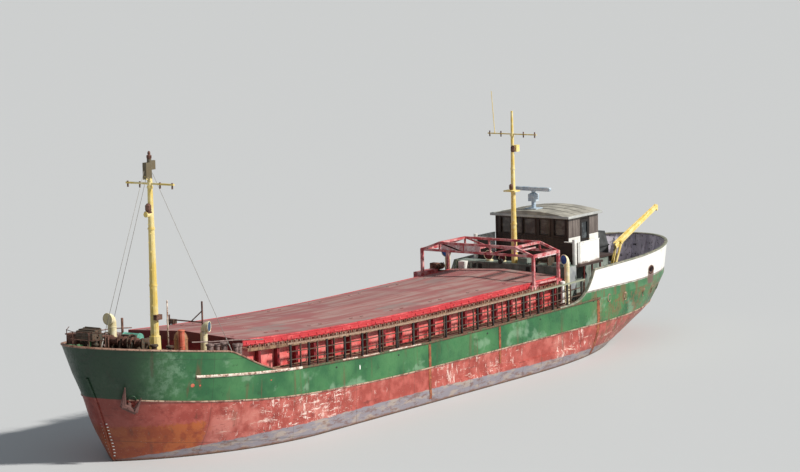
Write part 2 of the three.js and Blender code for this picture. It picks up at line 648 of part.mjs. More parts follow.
// Stockless anchor hauled up against the bow: shank, crown and two flukes.
function anchor() {
  const shank = rod(nearAnchor(0, -0.0014, 0), nearAnchor(0, 0.6914, -0.5), SHANK, SHANK, 10);
  const head = rod(nearAnchor(-0.26, 0.13, 0.02), nearAnchor(0.26, -0.13, 0.02), 0.12, 0.12, 8);
  const flukes = [
    rod(nearAnchor(-0.22, 0.1, 0.02), nearAnchor(-0.13, 0.86, 0.32), 0.13, 0.02, 6),
    rod(nearAnchor(0.22, -0.1, 0.02), nearAnchor(0.46, 0.42, 0.2), 0.13, 0.02, 6),
  ];
  return join([shank, head, ...flukes]);
}

function houses() {
  const foot = (x) => deckHeight(x) + GAP;
  const block = (aft, fore, half, top) => skin(deckStations(aft, fore).map((x) => [
    point(x, half, foot(x)), point(x, half, top), point(x, -half, top), point(x, -half, foot(x))]));
  const front = block(FRONT_HOUSE.aft, FRONT_HOUSE.fore, FRONT_HOUSE.half, FRONT_HOUSE.top);
  const low = block(LOW_HOUSE.aft, FRONT_HOUSE.aft + 0.1, LOW_HOUSE.half, LOW_HOUSE.top);
  return front.add(low);
}

function boatDeck() {
  const { fore, aft, half, wingAft, wingHalf, top } = BOAT_DECK;
  const base = LOW_HOUSE.top + GAP;
  const slab = box(aft, fore - 0.01, -half, half, base, top)
    .add(box(wingAft, fore - 0.01, -wingHalf, wingHalf, base, top));
  const pillars = [-10.15, -10.95, -11.65, -12.35].map((x) => (
    rod(point(x, wingHalf - 0.1, deckHeight(x) + 0.002), point(x, wingHalf - 0.1, top - 0.05), 0.045, 0.045, 8)));
  // Wing screen: its front across the ship, a chamfer and its side.
  const screen = join([
    box(-10.4, -10.35, WHEELHOUSE.half + 0.06, wingHalf - 0.2, top - 0.02, 5.1),
    box(-12.15, -10.52, wingHalf - 0.06, wingHalf - 0.01, top - 0.02, 5.1),
    bar(point(-10.37, wingHalf - 0.22, (top + 5.08) / 2), point(-10.54, wingHalf - 0.03, (top + 5.08) / 2), 0.05, 1),
  ]);
  return slab.add(bothSides(join([...pillars, screen])));
}

function wheelhouse() {
  const { fore, aft, half, top, wall } = WHEELHOUSE;
  const floor = BOAT_DECK.top + GAP;
  const shell = box(aft, fore, -half, half, floor, top)
    .subtract(box(aft + wall, fore - wall, -half + wall, half - wall, floor - 1, top + 1));
  const cuts = FRONT_WINDOWS.map(([y, width]) => (
    box(fore - 0.3, fore + 0.3, y - width / 2, y + width / 2, WINDOW.bottom, WINDOW.top)));
  for (const y of [-1, 1]) {
    cuts.push(box(aft - 0.3, aft + 0.3, y - 0.35, y + 0.35, WINDOW.bottom, WINDOW.top));
    cuts.push(box(DOOR.aft, DOOR.fore, y * half - 0.3, y * half + 0.3, DOOR.bottom, DOOR.top));
  }
  return cuts.reduce((left, cut) => left.subtract(cut), shell);
}

function wheelhouseRoof() {
  const { fore, aft, half, top } = WHEELHOUSE;
  const crown = 0.24;
  const steps = 8;
  const across = Array.from({ length: steps + 1 }, (_, i) => -1 + 2 * i / steps);
  const edge = half + 0.16;
  return skin([[aft - 0.18, 0], [fore + 0.05, 0], [fore + 0.22, -0.03]].map(([x, drop]) => [
    ...across.map((t) => point(x, t * edge, top + 0.09 + drop + crown * (1 - t * t))),
    point(x, edge, top + GAP),
    point(x, -edge, top + GAP),
  ]));
}

function door() {
  const { fore, aft, bottom, top, thickness } = DOOR;
  const y = WHEELHOUSE.half;
  const clear = 0.012;
  const leaf = box(aft + clear, fore - clear, y - thickness, y, bottom + GAP, top - clear);
  const pane = box(aft + DOOR_FRAME, fore - DOOR_FRAME, y - 0.2, y + 0.2, DOOR_WINDOW.bottom, DOOR_WINDOW.top);
  return leaf.subtract(pane);
}

function doorGlass() {
  const y = WHEELHOUSE.half - DOOR.thickness / 2;
  const inset = DOOR_FRAME + GAP;
  return box(DOOR.aft + inset, DOOR.fore - inset, y - PANE / 2, y + PANE / 2,
    DOOR_WINDOW.bottom + GAP, DOOR_WINDOW.top - GAP);
}

// Glazing in one strip behind the windows of an end wall.
function glassStrip(x, half) {
  return box(x - PANE / 2, x + PANE / 2, -half, half, WINDOW.bottom - 0.06, WINDOW.top + 0.06);
}

function engineCasing() {
  const { fore, aft, half, top } = CASING;
  const foot = (x) => deckHeight(x) + GAP;
  const block = skin([aft, fore].map((x) => [
    point(x, half, foot(x)), point(x, half, 4.2), point(x, half * 0.75, top),
    point(x, -half * 0.75, top), point(x, -half, 4.2), point(x, -half, foot(x))]));
  const pipes = [[-15.3, 0.3, 5.35], [-15.75, 0.3, 5.25], [-15.5, -0.3, 5.3]].map(([x, y, z]) => (
    rod(point(x, y, top - 0.1), point(x, y, z), 0.09, 0.09, 10)));
  return join([block, ...pipes]);
}

const RADAR = { x: -11.3, y: -0.1, foot: WHEELHOUSE.top + 0.09 + 0.24 + GAP, top: 7.16 };

function radarPedestal() {
  const { x, y, foot, top } = RADAR;
  return join([
    box(x - 0.3, x + 0.3, y - 0.3, y + 0.3, foot, foot + 0.05),
    rod(point(x, y, foot), point(x, y, foot + 0.4), 0.1, 0.1, 10),
    box(x - 0.2, x + 0.2, y - 0.17, y + 0.17, foot + 0.36, top - 0.06),
    rod(point(x, y, top - 0.1), point(x, y, top), 0.08, 0.08, 10),
  ]);
}

function radarScanner() {
  const { x, y, top } = RADAR;
  return join([
    rod(point(x, y, top + GAP), point(x, y, top + 0.1), 0.08, 0.08, 10),
    box(x - 0.07, x + 0.09, y - 0.9, y + 0.9, top + 0.08, top + 0.26),
  ]);
}

function davitPedestal() {
  const { x, y, foot } = DAVIT;
  const seated = seat(deckHeight, x, 0.24);
  return join([
    rod(point(x, y, seated), point(x, y, foot), 0.13, 0.13, 12),
    rod(point(x, y, seated), point(x, y, seated + 0.05), 0.24, 0.24, 12),
  ]);
}

function davitLeg() {
  const { x, y, foot, elbowX, elbow } = DAVIT;
  const outline = [[x + 0.06, foot + 0.16], [x - 0.06, foot + 0.16], [elbowX - 0.06, elbow], [elbowX + 0.06, elbow]];
  const cheeks = [plate(outline, y - 0.145, y - 0.095), plate(outline, y + 0.095, y + 0.145)];
  return join([
    rod(point(x, y, foot + GAP), point(x, y, foot + 0.28), 0.17, 0.17, 12),
    ...cheeks,
    rod(point(elbowX, y - 0.16, elbow), point(elbowX, y - 0.08, elbow), 0.09, 0.09, 10),
    rod(point(elbowX, y + 0.08, elbow), point(elbowX, y + 0.16, elbow), 0.09, 0.09, 10),
  ]);
}

function davitBoom() {
  const { y, elbowX, elbow, tailX, tail, tipX, tip } = DAVIT;
  const from = point(tailX, y, tail);
  const to = point(tipX, y, tip);
  const hub = 0.08 - GAP;
  return join([
    rod(from, to, 0.075, 0.055, 8),
    rod(point(elbowX, y - hub, elbow), point(elbowX, y + hub, elbow), 0.1, 0.1, 10),
    box(tipX - 0.06, tipX + 0.06, y - 0.05, y + 0.05, tip - 0.2, tip + 0.05),
  ]);
}

function propeller() {
  const { x, radius, hub, blades } = PROPELLER;
  const pieces = [
    rod(point(x - 0.15, 0, SHAFT_HEIGHT), point(STERN_TUBE_END - GAP, 0, SHAFT_HEIGHT), hub * 0.8, hub, 12),
    rod(point(x - 0.24, 0, SHAFT_HEIGHT), point(x - 0.15, 0, SHAFT_HEIGHT), 0.03, hub * 0.8, 12),
  ];
  for (let i = 0; i < blades; i += 1) {
    const outline = new THREE.Shape();
    outline.moveTo(-0.07, hub * 0.6);
    outline.quadraticCurveTo(-0.26, radius * 0.65, -0.05, radius - 0.005);
    outline.quadraticCurveTo(0.24, radius * 0.9, 0.07, hub * 0.6);
    const blade = new THREE.ExtrudeGeometry(outline, { depth: 0.03, bevelEnabled: false, curveSegments: 5 });
    blade.translate(0, 0, -0.015);
    blade.rotateX(QUARTER_TURN);
    blade.rotateZ(0.95);
    blade.rotateX(i * 2 * HALF_TURN / blades);
    blade.translate(x, 0, SHAFT_HEIGHT);
    pieces.push(toSolid(blade));
  }
  return join(pieces);
}

function rudder() {
  const { stockX, nose, tail, bottom, top, half } = RUDDER;
  const section = (z) => [
    point(nose, 0, z), point(nose - 0.15, half, z), point(nose - 0.45, half, z),
    point(tail, 0.012, z), point(tail, -0.012, z), point(nose - 0.45, -half, z), point(nose - 0.15, -half, z)];
  return skin([section(bottom), section(top)])
    .add(rod(point(stockX, 0, bottom + 0.05), point(stockX, 0, RUDDER.tubeEnd - GAP), 0.085, 0.085, 12));
}

// Capstan, skylight and other small deck pieces.
function capstan(x) {
  const foot = seat(deckHeight, x, 0.36);
  return join([
    rod(point(x, 0, foot), point(x, 0, foot + 0.12), 0.36, 0.33, 14),
    rod(point(x, 0, foot + 0.1), point(x, 0, foot + 0.6), 0.2, 0.15, 14),
    rod(point(x, 0, foot + 0.58), point(x, 0, foot + 0.72), 0.24, 0.24, 14),
  ]);
}

function storeHood(x, y) {
  const half = 0.25;
  const spring = 4.35;
  return rod(point(x - half, y, spring), point(x + half, y, spring), 0.27, 0.27, 12)
    .add(box(x - half, x + half, y - 0.27, y + 0.27, seat(foredeckHeight, x, half), spring));
}

function taperedPost(x, y, deck, top, radius) {
  return rod(point(x, y, seat(deck, x, radius)), point(x, y, top), radius, radius * 0.9, 10);
}

// A main stay as a thin rod from the mast's head down to a small block on the foredeck.
function stay(from, to) {
  const half = 0.06;
  const foot = seat(foredeckHeight, to.x, half);
  return join([
    rod(from, point(to.x, to.y, foot + half), 0.02, 0.02, 6),
    box(to.x - half, to.x + half, to.y - half, to.y + half, foot, foot + half * 2),
  ]);
}

// Materials: painted steel in the ship's colours.
const paint = (color, roughness = 0.6, metalness = 0.1) => (
  new THREE.MeshStandardMaterial({ color, roughness, metalness }));
const MATERIALS = {
  hullPaint: paint('#2f6b3f'),
  whitePaint: paint('#ecece6'),
  coverRed: paint('#a8605f', 0.7),
  coamingRed: paint('#c0443f'),
  craneRed: paint('#b0484a'),
  railBrown: paint('#3b2f28', 0.8),
  mastCream: paint('#e6d38a'),
  ventBlue: paint('#e0cfa0'),
  winchGrey: paint('#4b5148', 0.7),
  rustBrown: paint('#6a4638', 0.85),
  houseGrey: paint('#7f8a84'),
  deckBrown: paint('#7a5a4c', 0.8),
  wood: paint('#3c2c24', 0.7, 0),
  roofGrey: paint('#9a9c98', 0.7),
  glass: paint('#2a3034', 0.1, 0),
  funnelGrey: paint('#3a3c3e'),
  postOrange: paint('#d8573c'),
  bronze: paint('#8a6a3a', 0.4, 0.9),
  radarGrey: paint('#9fb4c4', 0.5),
};

const vessel = new THREE.Group();

function add(name, solid, material) {
  const { vertProperties, triVerts, numProp } = solid.getMesh();
  const positions = new Float32Array((vertProperties.length / numProp) * 3);
  for (let i = 0; i < positions.length / 3; i += 1) {
    for (let axis = 0; axis < 3; axis += 1) positions[i * 3 + axis] = vertProperties[i * numProp + axis] * SCALE;
  }
  const geometry = new THREE.BufferGeometry();
  geometry.setAttribute('position', new THREE.BufferAttribute(positions, 3));
  geometry.setIndex(new THREE.BufferAttribute(new Uint32Array(triVerts), 1));
  geometry.computeVertexNormals();
  const mesh = new THREE.Mesh(geometry, material);
  mesh.name = name;
  vessel.add(mesh);
}

function addPair(name, solid, material) {
  add(`${name}_port`, solid, material);
  add(`${name}_starboard`, mirrored(solid), material);
}

const m = MATERIALS;
add('hull', hull(), m.hullPaint);
add('forecastle', forecastle(), m.hullPaint);
add('aft_bulwark', aftBulwark(), m.whitePaint);
add('hatch_coaming', coaming(), m.coamingRed);
for (let i = 0; i < COVER_COUNT; i += 1) add(`hatch_cover_${i + 1}`, hatchCover(i), m.coverRed);
add('portal_crane', portalCrane(), m.craneRed);
addPair('guard_rail', guardRail(), m.railBrown);

add('fore_mast', foreMast(), m.mastCream);
add('forestay', stay(point(FORE_MAST.x + 0.3 + 0.019, 0, 10.9), { x: 19.5, y: 0 }), m.railBrown);
addPair('shroud', stay(point(FORE_MAST.x - 0.02, 0.117, 10.8), { x: 15.25, y: 3.15 }), m.railBrown);
add('windlass_base', windlassBase(), m.winchGrey);
add('windlass_drums', windlassDrums(), m.rustBrown);
add('bow_roller', bowRoller(), m.winchGrey);
add('fore_vent', cowl(17.2, -1.25, foredeckHeight, 5.45, 0.15, 1), m.mastCream);
add('hatch_vent', cowl(15.62, 2, foredeckHeight, 5.12, 0.13, -1), m.mastCream);
add('vent_post', taperedPost(16.87, 1.9, foredeckHeight, 4.88, 0.13), m.postOrange);
add('store_hood', storeHood(15.5, 0.75), m.rustBrown);
addPair('fore_bollards', bollards(15.75, 2.72, foredeckHeight, 0.85, 0.13, 0.5), m.rustBrown);
add('anchor_port', anchor(), m.rustBrown);

add('deckhouse', houses(), m.houseGrey);
add('boat_deck', boatDeck(), m.whitePaint);
add('wheelhouse', wheelhouse(), m.wood);
add('wheelhouse_roof', wheelhouseRoof(), m.roofGrey);
addPair('wheelhouse_door', door(), m.wood);
addPair('door_glass', doorGlass(), m.glass);
const paneInset = WHEELHOUSE.wall + PANE / 2 + GAP;
add('front_glass', glassStrip(WHEELHOUSE.fore - paneInset, 1.86), m.glass);
add('aft_glass', glassStrip(WHEELHOUSE.aft + paneInset, 1.5), m.glass);
add('radar_pedestal', radarPedestal(), m.radarGrey);
add('radar_scanner', radarScanner(), m.radarGrey);
add('engine_casing', engineCasing(), m.funnelGrey);
add('aft_mast', aftMast(), m.mastCream);
addPair('side_vent', cowl(-8.88, 3.26, deckHeight, 4.78, 0.12, 1), m.ventBlue);
add('davit_pedestal', davitPedestal(), m.mastCream);
add('davit_leg', davitLeg(), m.mastCream);
add('davit_boom', davitBoom(), m.mastCream);
add('capstan', capstan(-18), m.winchGrey);
addPair('aft_bollards', bollards(-16.8, 2.15, deckHeight, 0.7, 0.12, 0.45), m.rustBrown);
add('propeller', propeller(), m.bronze);
add('rudder', rudder(), m.hullPaint);

export default vessel;
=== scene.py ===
# Looks of a small coastal cargo vessel, afloat, as a half-scale model.
# Sizes and places are in metres of the real ship; SCALE turns them into metres of the model.
import math

import bmesh
import bpy
import numpy as np
from mathutils import Matrix, Vector


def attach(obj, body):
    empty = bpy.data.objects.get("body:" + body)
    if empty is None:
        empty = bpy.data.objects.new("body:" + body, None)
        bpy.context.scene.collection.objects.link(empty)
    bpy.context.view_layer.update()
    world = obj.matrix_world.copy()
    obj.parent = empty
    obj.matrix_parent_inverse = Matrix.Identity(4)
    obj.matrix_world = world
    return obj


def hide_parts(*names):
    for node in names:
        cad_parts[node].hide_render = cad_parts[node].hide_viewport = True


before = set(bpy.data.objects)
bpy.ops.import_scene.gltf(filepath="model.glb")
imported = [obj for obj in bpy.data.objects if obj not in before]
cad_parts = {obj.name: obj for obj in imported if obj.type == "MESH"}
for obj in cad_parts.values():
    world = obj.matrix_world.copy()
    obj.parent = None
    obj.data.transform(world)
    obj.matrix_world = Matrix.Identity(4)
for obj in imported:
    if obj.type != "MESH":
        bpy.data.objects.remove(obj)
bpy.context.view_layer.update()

SCALE = 0.5
SHIP = "ship"
QUARTER_TURN = math.pi / 2

# Hull form, as in the part's own source.
HALF_BEAM = 3.78
AMIDSHIPS = 1.15
DECK_AMIDSHIPS = 2.528
SHEER_FORE = 0.00265
SHEER_AFT = 0.000596
KEEL_BOTTOM = -1.3
FOREDECK_RISE = 0.7
BREAK_X = 15.05
# Places along the ship where each bulwark's sweep starts at the deck and reaches full height.
FORE_SWEEP = (12.58, 15.69)
AFT_SWEEP = (-7.23, -10.2)
HOLD_AFT, HOLD_FORE, HOLD_HALF, HOLD_FLOOR = -8.0, 13.85, 2.62, -0.95
HATCH_AFT, HATCH_FORE = -8.6, 14.35
COVER_COUNT = 8
COVER_PITCH = (HATCH_FORE - HATCH_AFT) / COVER_COUNT
COVER_HALF, COVER_BASE, COVER_EDGE, COVER_RIDGE = 2.853, 1.0, 1.248, 1.402
COAMING_AFT, COAMING_FORE, COAMING_HALF, COAMING_WALL = -8.54, 14.29, 2.8, 0.08
LEDGE_TOP, LEDGE_OUT = 0.93, 3.07
FAIRLEAD_X, FAIRLEAD_Z = -15.5, 3.31
FORE_MAST_X, AFT_MAST_X = 16.15, -9.45
# The stem's front edge, as (height, place along the ship).
STEM_LINE = [(0, 18.87), (1.42, 19.36), (2.64, 19.86), (3.4, 20.27)]


def sheer(x):
    """Height of the deck's edge: a hollow curve that is lowest amidships."""
    return DECK_AMIDSHIPS + SHEER_FORE * max(0, x - AMIDSHIPS) ** 2 + SHEER_AFT * max(0, AMIDSHIPS - x) ** 2


def strake_line(x):
    """Height where the red paint ends and the green begins."""
    return 1.5 + 0.00072 * max(0, x - 1) ** 2.5 + 0.0004 * max(0, -x - 6) ** 2


def boot_line(x):
    """Height where the grey boot topping ends."""
    return 0.6 - 0.0135 * max(0, x - 12.6) ** 2 - 0.018 * max(0, 2 - x)


def fore_cap(x):
    """Height of the bow bulwark's top, which rises towards the stem."""
    return 4.06 + 0.128 * (x - FORE_SWEEP[1])


def aft_cap(x):
    """Height of the stern bulwark's top, which rises a little towards the stern."""
    return 4 + 0.0238 * (AFT_SWEEP[1] - x)


class Level:
    """One horizontal outline of the hull: straight sides, and a taper towards each end.

    stem and stern are its ends, and the runs are how long the tapers are. A taper swells out
    more where its full or power is higher. half is half the width, and height goes by place.
    """

    def __init__(self, stem, fore_run, fore_full, stern, aft_run, aft_power, aft_full, half, height):
        self.stem, self.fore_run, self.fore_full = stem, fore_run, fore_full
        self.stern, self.aft_run, self.aft_power, self.aft_full = stern, aft_run, aft_power, aft_full
        self.half, self.height = half, height

    def fore(self, angle):
        """Place on the fore taper; the angle goes from 0 to a quarter turn at the stem."""
        u = math.sin(angle)
        return self.stem - self.fore_run * (1 - u), self.half * max(0, 1 - u * u) ** (1 / self.fore_full)

    def aft(self, angle):
        """Place on the aft taper; the angle goes from 0 to a quarter turn at the stern."""
        u = math.sin(angle)
        return self.stern + self.aft_run * (1 - u), self.aft_half(u)

    def aft_half(self, u):
        """Half the width at u, which runs from 0 at the end of the parallel middle to 1 at the stern."""
        return self.half * max(0, 1 - u ** self.aft_power) ** (1 / self.aft_full)

    def middle(self, part):
        """Place on the straight side, part of the way from its aft end."""
        aft, fore = self.stern + self.aft_run, self.stem - self.fore_run
        return aft + (fore - aft) * part, self.half

    def place(self, region, value):
        """Place in a region of the outline: aft, middle or fore."""
        return {"aft": self.aft, "middle": self.middle, "fore": self.fore}[region](value)


LEVELS = {
    "keel": Level(16.8, 8, 1.1, -13.5, 8, 2, 1.1, 0.5, lambda x: KEEL_BOTTOM),
    "floor": Level(17.5, 8, 1.2, -14.8, 11.5, 2.2, 1, 3.05, lambda x: -1.15),
    "bilge": Level(18.2, 7.8, 1.4, -16.2, 13, 2.4, 1, 3.6, lambda x: -0.7),
    "waterline": Level(18.8, 8.3, 1.25, -17.5, 14.5, 3, 1, 3.74, lambda x: 0),
    "side": Level(19.3, 8.3, 1.65, -19.3, 12.4, 2.6, 1.15, 3.76, lambda x: 0.55 * strake_line(x)),
    "strake": Level(19.8, 8.4, 1.66, -20, 10, 2.3, 1.5, 3.78, strake_line),
    "deck": Level(20.25, 8.9, 1.8, -20.5, 7.6, 2, 1.9, 3.78, sheer),
    "fore_cap": Level(20.7, 9.75, 2, -20.7, 7.5, 2, 2, 3.78, fore_cap),
    "aft_cap": Level(20.7, 9.75, 2, -20.7, 7.5, 2, 2, 3.78, aft_cap),
}
HULL_LEVELS = ["keel", "floor", "bilge", "waterline", "side", "strake", "deck"]


def along_line(line, x):
    """Second value of a line at its first value x; it runs straight between its (first, second) points."""
    for (x1, z1), (x2, z2) in zip(line, line[1:]):
        if x <= x2 or (x2, z2) == line[-1]:
            return z1 + (z2 - z1) * (x - x1) / (x2 - x1)


def deck_outline():
    """Places on the deck's edge, from the stern to the stem, as the part's own source has them."""
    deck = LEVELS["deck"]
    places = [deck.aft(QUARTER_TURN * (1 - i / 8)) for i in range(9)]
    places += [deck.middle(i / 6) for i in range(1, 6)]
    return places + [deck.fore(QUARTER_TURN * i / 9) for i in range(10)]


DECK_LINE = [(x, sheer(x)) for x, _ in deck_outline()]


def deck_z(x):
    """Height of the deck, which runs straight between the part's own sections."""
    return along_line(DECK_LINE, x)


def fore_angle(level, x):
    """The angle that gives a level's fore taper this place along the ship."""
    return math.asin(min(1, 1 - (level.stem - x) / level.fore_run))


def bow_stations(from_x, steps):
    """Pairs of places round the port bow: on the deck's edge and on the bulwark's top."""
    deck, cap = LEVELS["deck"], LEVELS["fore_cap"]
    low, high = fore_angle(deck, from_x), fore_angle(cap, from_x)
    pairs = []
    for i in range(steps + 1):
        pairs.append((deck.fore(low + (QUARTER_TURN - low) * i / steps),
                      cap.fore(high + (QUARTER_TURN - high) * i / steps)))
    return pairs


def foredeck_line():
    """The raised foredeck's height along the ship."""
    line = []
    for low, high in bow_stations(BREAK_X, 9)[:-1]:
        foot = deck_z(low[0])
        part = FOREDECK_RISE / (fore_cap(high[0]) - foot)
        line.append((low[0] + (high[0] - low[0]) * part, foot + FOREDECK_RISE))
    return line


FOREDECK_LINE = foredeck_line()


def foredeck_z(x):
    """Height of the raised foredeck."""
    return along_line(FOREDECK_LINE, x)


def fore_top(x):
    """Top of the bow bulwark, which sweeps down to the deck in a hollow curve."""
    low, high = FORE_SWEEP
    if x >= high:
        return fore_cap(x)
    t = (high - x) / (high - low)
    foot = deck_z(low) + 0.09
    return fore_cap(high) - (fore_cap(high) - foot) * math.sin(t * QUARTER_TURN) ** 1.2


def aft_top(x):
    """Top of the stern bulwark, which sweeps down to the deck in a round curve."""
    low, high = AFT_SWEEP
    if x <= high:
        return aft_cap(x)
    t = (x - high) / (low - high)
    foot = deck_z(low) + 0.09
    return aft_cap(high) - (aft_cap(high) - foot) * (1 - (1 - t) ** 4)


def smooth_through(points, steps):
    """A smooth curve through points, with the same number of steps in each span."""
    pts = np.array(points, float)
    gaps = np.maximum(np.linalg.norm(np.diff(pts, axis=0), axis=1), 1e-6)
    slopes = np.diff(pts, axis=0) / gaps[:, None]
    tangents = np.empty_like(pts)
    tangents[0], tangents[-1] = slopes[0], slopes[-1]
    for i in range(1, len(pts) - 1):
        tangents[i] = (slopes[i] * gaps[i - 1] + slopes[i - 1] * gaps[i]) / (gaps[i] + gaps[i - 1])
    curve = [pts[0]]
    for i, gap in enumerate(gaps):
        for step in range(1, steps + 1):
            t = step / steps
            h00, h10 = 2 * t**3 - 3 * t**2 + 1, t**3 - 2 * t**2 + t
            h01, h11 = -2 * t**3 + 3 * t**2, t**3 - t**2
            curve.append(h00 * pts[i] + h10 * gap * tangents[i]
                         + h01 * pts[i + 1] + h11 * gap * tangents[i + 1])
    return [tuple(p) for p in curve]


def side_column(region, value, steps=6):
    """The port side's curve from the keel to the deck's edge, at one place along the hull."""
    points = []
    for name in HULL_LEVELS:
        level = LEVELS[name]
        x, y = level.place(region, value)
        points.append((x, y, deck_z(x) if name == "deck" else level.height(x)))
    return smooth_through(points, steps)


def along_hull(aft_columns, middle_columns, fore_columns):
    """Places along the hull, from the stern to the stem, for so many columns in each region."""
    places = [("aft", QUARTER_TURN * (1 - i / aft_columns)) for i in range(aft_columns + 1)]
    places += [("middle", i / middle_columns) for i in range(1, middle_columns)]
    return places + [("fore", QUARTER_TURN * i / fore_columns) for i in range(fore_columns + 1)]


HULL_PLACES = along_hull(36, 30, 44)
SIDE_GRID = [side_column(region, value, 4) for region, value in along_hull(60, 60, 60)]


def on_column(column, z):
    """The place on a side column at a height."""
    for low, high in zip(column, column[1:]):
        if low[2] <= z <= high[2] and high[2] > low[2]:
            return Vector(low).lerp(Vector(high), (z - low[2]) / (high[2] - low[2]))
    return Vector(column[-1])


def side_place(x, z):
    """The port side's point at a place along the ship and a height, with its outward and upward ways."""
    places = [on_column(column, z) for column in SIDE_GRID]
    i = min(range(1, len(places) - 1), key=lambda k: abs(places[k].x - x))
    j = i + 1 if places[i].x < x else i - 1
    here = places[i].lerp(places[j], (x - places[i].x) / (places[j].x - places[i].x or 1))
    along = (places[i + 1] - places[i - 1]).normalized()
    rise = (on_column(SIDE_GRID[i], z + 0.12) - on_column(SIDE_GRID[i], z - 0.12)).normalized()
    out = along.cross(rise).normalized()
    if out.y < 0:
        out = -out
    up = (rise - along * rise.dot(along)).normalized()
    return here, out, up


# Materials.
def linear(hexa):
    """Blender's linear colour for an sRGB hex value."""
    parts = [int(hexa[i:i + 2], 16) / 255 for i in (1, 3, 5)]
    return [((c + 0.055) / 1.055) ** 2.4 if c > 0.04045 else c / 12.92 for c in parts] + [1.0]


def add_node(tree, kind, inputs=None, **settings):
    """Adds a node with its settings; inputs are links or values by socket name or number."""
    node = tree.nodes.new(kind)
    for key, value in settings.items():
        setattr(node, key, value)
    for key, value in (inputs or {}).items():
        if isinstance(value, bpy.types.NodeSocket):
            tree.links.new(value, node.inputs[key])
        else:
            node.inputs[key].default_value = value
    return node


class Finish:
    """A material made of sources, which are number fields over the surface, and layers of colour."""

    def __init__(self, name, base):
        self.material = bpy.data.materials.new(name)
        self.material.use_nodes = True
        self.tree = self.material.node_tree
        self.tree.nodes.clear()
        self.shader = add_node(self.tree, "ShaderNodeBsdfPrincipled")
        add_node(self.tree, "ShaderNodeOutputMaterial", {0: self.shader.outputs[0]})
        self.place = add_node(self.tree, "ShaderNodeTexCoord").outputs["Object"]
        self.known = {}
        self.colour = linear(base)
        self.normal = None

    def value(self, source):
        """The socket of a source, made once; a number stays a number."""
        if not isinstance(source, tuple):
            return source
        if source not in self.known:
            self.known[source] = self.new_value(*source)
        return self.known[source]

    def new_value(self, kind, *parts):
        """noise: patch sizes in ship metres along x, y and z, detail, roughness.
        along: an axis, in ship metres. stored: a height kept on the mesh.
        Any other kind is a sum on one or two sources."""
        if kind == "noise":
            sizes, detail, rough = parts
            scale = [1 / (size * SCALE) for size in sizes]
            where = add_node(self.tree, "ShaderNodeMapping", {"Vector": self.place, "Scale": scale})
            return add_node(self.tree, "ShaderNodeTexNoise", {
                "Vector": where.outputs[0], "Scale": 1.0, "Detail": detail, "Roughness": rough}).outputs[0]
        if kind == "along":
            axes = add_node(self.tree, "ShaderNodeSeparateXYZ", {0: self.place}).outputs
            return add_node(self.tree, "ShaderNodeMath", {0: axes["xyz".index(parts[0])], 1: 1 / SCALE},
                            operation="MULTIPLY").outputs[0]
        if kind == "stored":
            return add_node(self.tree, "ShaderNodeAttribute", attribute_name=parts[0]).outputs["Fac"]
        inputs = {i: self.value(part) for i, part in enumerate(parts)}
        return add_node(self.tree, "ShaderNodeMath", inputs, operation=kind).outputs[0]

    def mask(self, strength, steps):
        """Product of smooth steps, each of which goes from 0 at low to 1 at high over its source."""
        whole = None
        for source, low, high in steps:
            part = add_node(self.tree, "ShaderNodeMapRange", {
                0: self.value(source), 1: low, 2: high, 4: strength if whole is None else 1.0},
                interpolation_type="SMOOTHSTEP").outputs[0]
            whole = part if whole is None else add_node(
                self.tree, "ShaderNodeMath", {0: whole, 1: part}, operation="MULTIPLY").outputs[0]
        return whole

    def layer(self, hexa, strength, *steps):
        """Lays a colour over what is there, where its mask says."""
        self.colour = add_node(self.tree, "ShaderNodeMix", {
            0: self.mask(strength, steps), 6: self.colour, 7: linear(hexa)}, data_type="RGBA").outputs[2]

    def bump(self, source, depth, strength):
        """Adds relief, as deep as depth in ship metres, to what is there."""
        inputs = {"Height": self.value(source), "Distance": depth * SCALE, "Strength": strength}
        if self.normal:
            inputs["Normal"] = self.normal
        self.normal = add_node(self.tree, "ShaderNodeBump", inputs).outputs[0]

    def done(self, rough, rough_by=None, spread=0.2, metal=0.0):
        """Joins colour, roughness and relief to the shader."""
        self.shader.inputs["Metallic"].default_value = metal
        if isinstance(self.colour, bpy.types.NodeSocket):
            self.tree.links.new(self.colour, self.shader.inputs["Base Color"])
        else:
            self.shader.inputs["Base Color"].default_value = self.colour
        if rough_by:
            field = add_node(self.tree, "ShaderNodeMapRange", {
                0: self.value(rough_by), 1: 0.3, 2: 0.7, 3: rough - spread / 2, 4: rough + spread})
            self.tree.links.new(field.outputs[0], self.shader.inputs["Roughness"])
        else:
            self.shader.inputs["Roughness"].default_value = rough
        if self.normal:
            self.tree.links.new(self.normal, self.shader.inputs["Normal"])
        return self.material


def patches(size, detail=5, rough=0.55, flat=(1, 1, 1)):
    """A noise source whose patches are about this many ship metres across."""
    return ("noise", tuple(size * f for f in flat), detail, rough)


def weathered_paint(name, paint, faded, rust, patch, wear, runs, rough=0.5, metal=0.0):
    """Brushed oil paint on steel: faded patches, chips down to rust, and streaks that run down from them.
    patch is the size of a faded patch; lower wear gives more chips, and lower runs gives more streaks."""
    finish = Finish(name, paint)
    flakes = patches(patch / 4, 6, 0.65)
    finish.layer(faded, 1, (patches(patch), 0.38, 0.64))
    finish.layer(rust, 0.7, (patches(patch / 3, 4, 0.55, (1, 1, 7)), runs, runs + 0.12))
    finish.layer(rust, 0.9, (flakes, wear, wear + 0.03))
    finish.bump(flakes, 0.012, 0.25)
    return finish.done(rough, flakes, 0.25, metal)


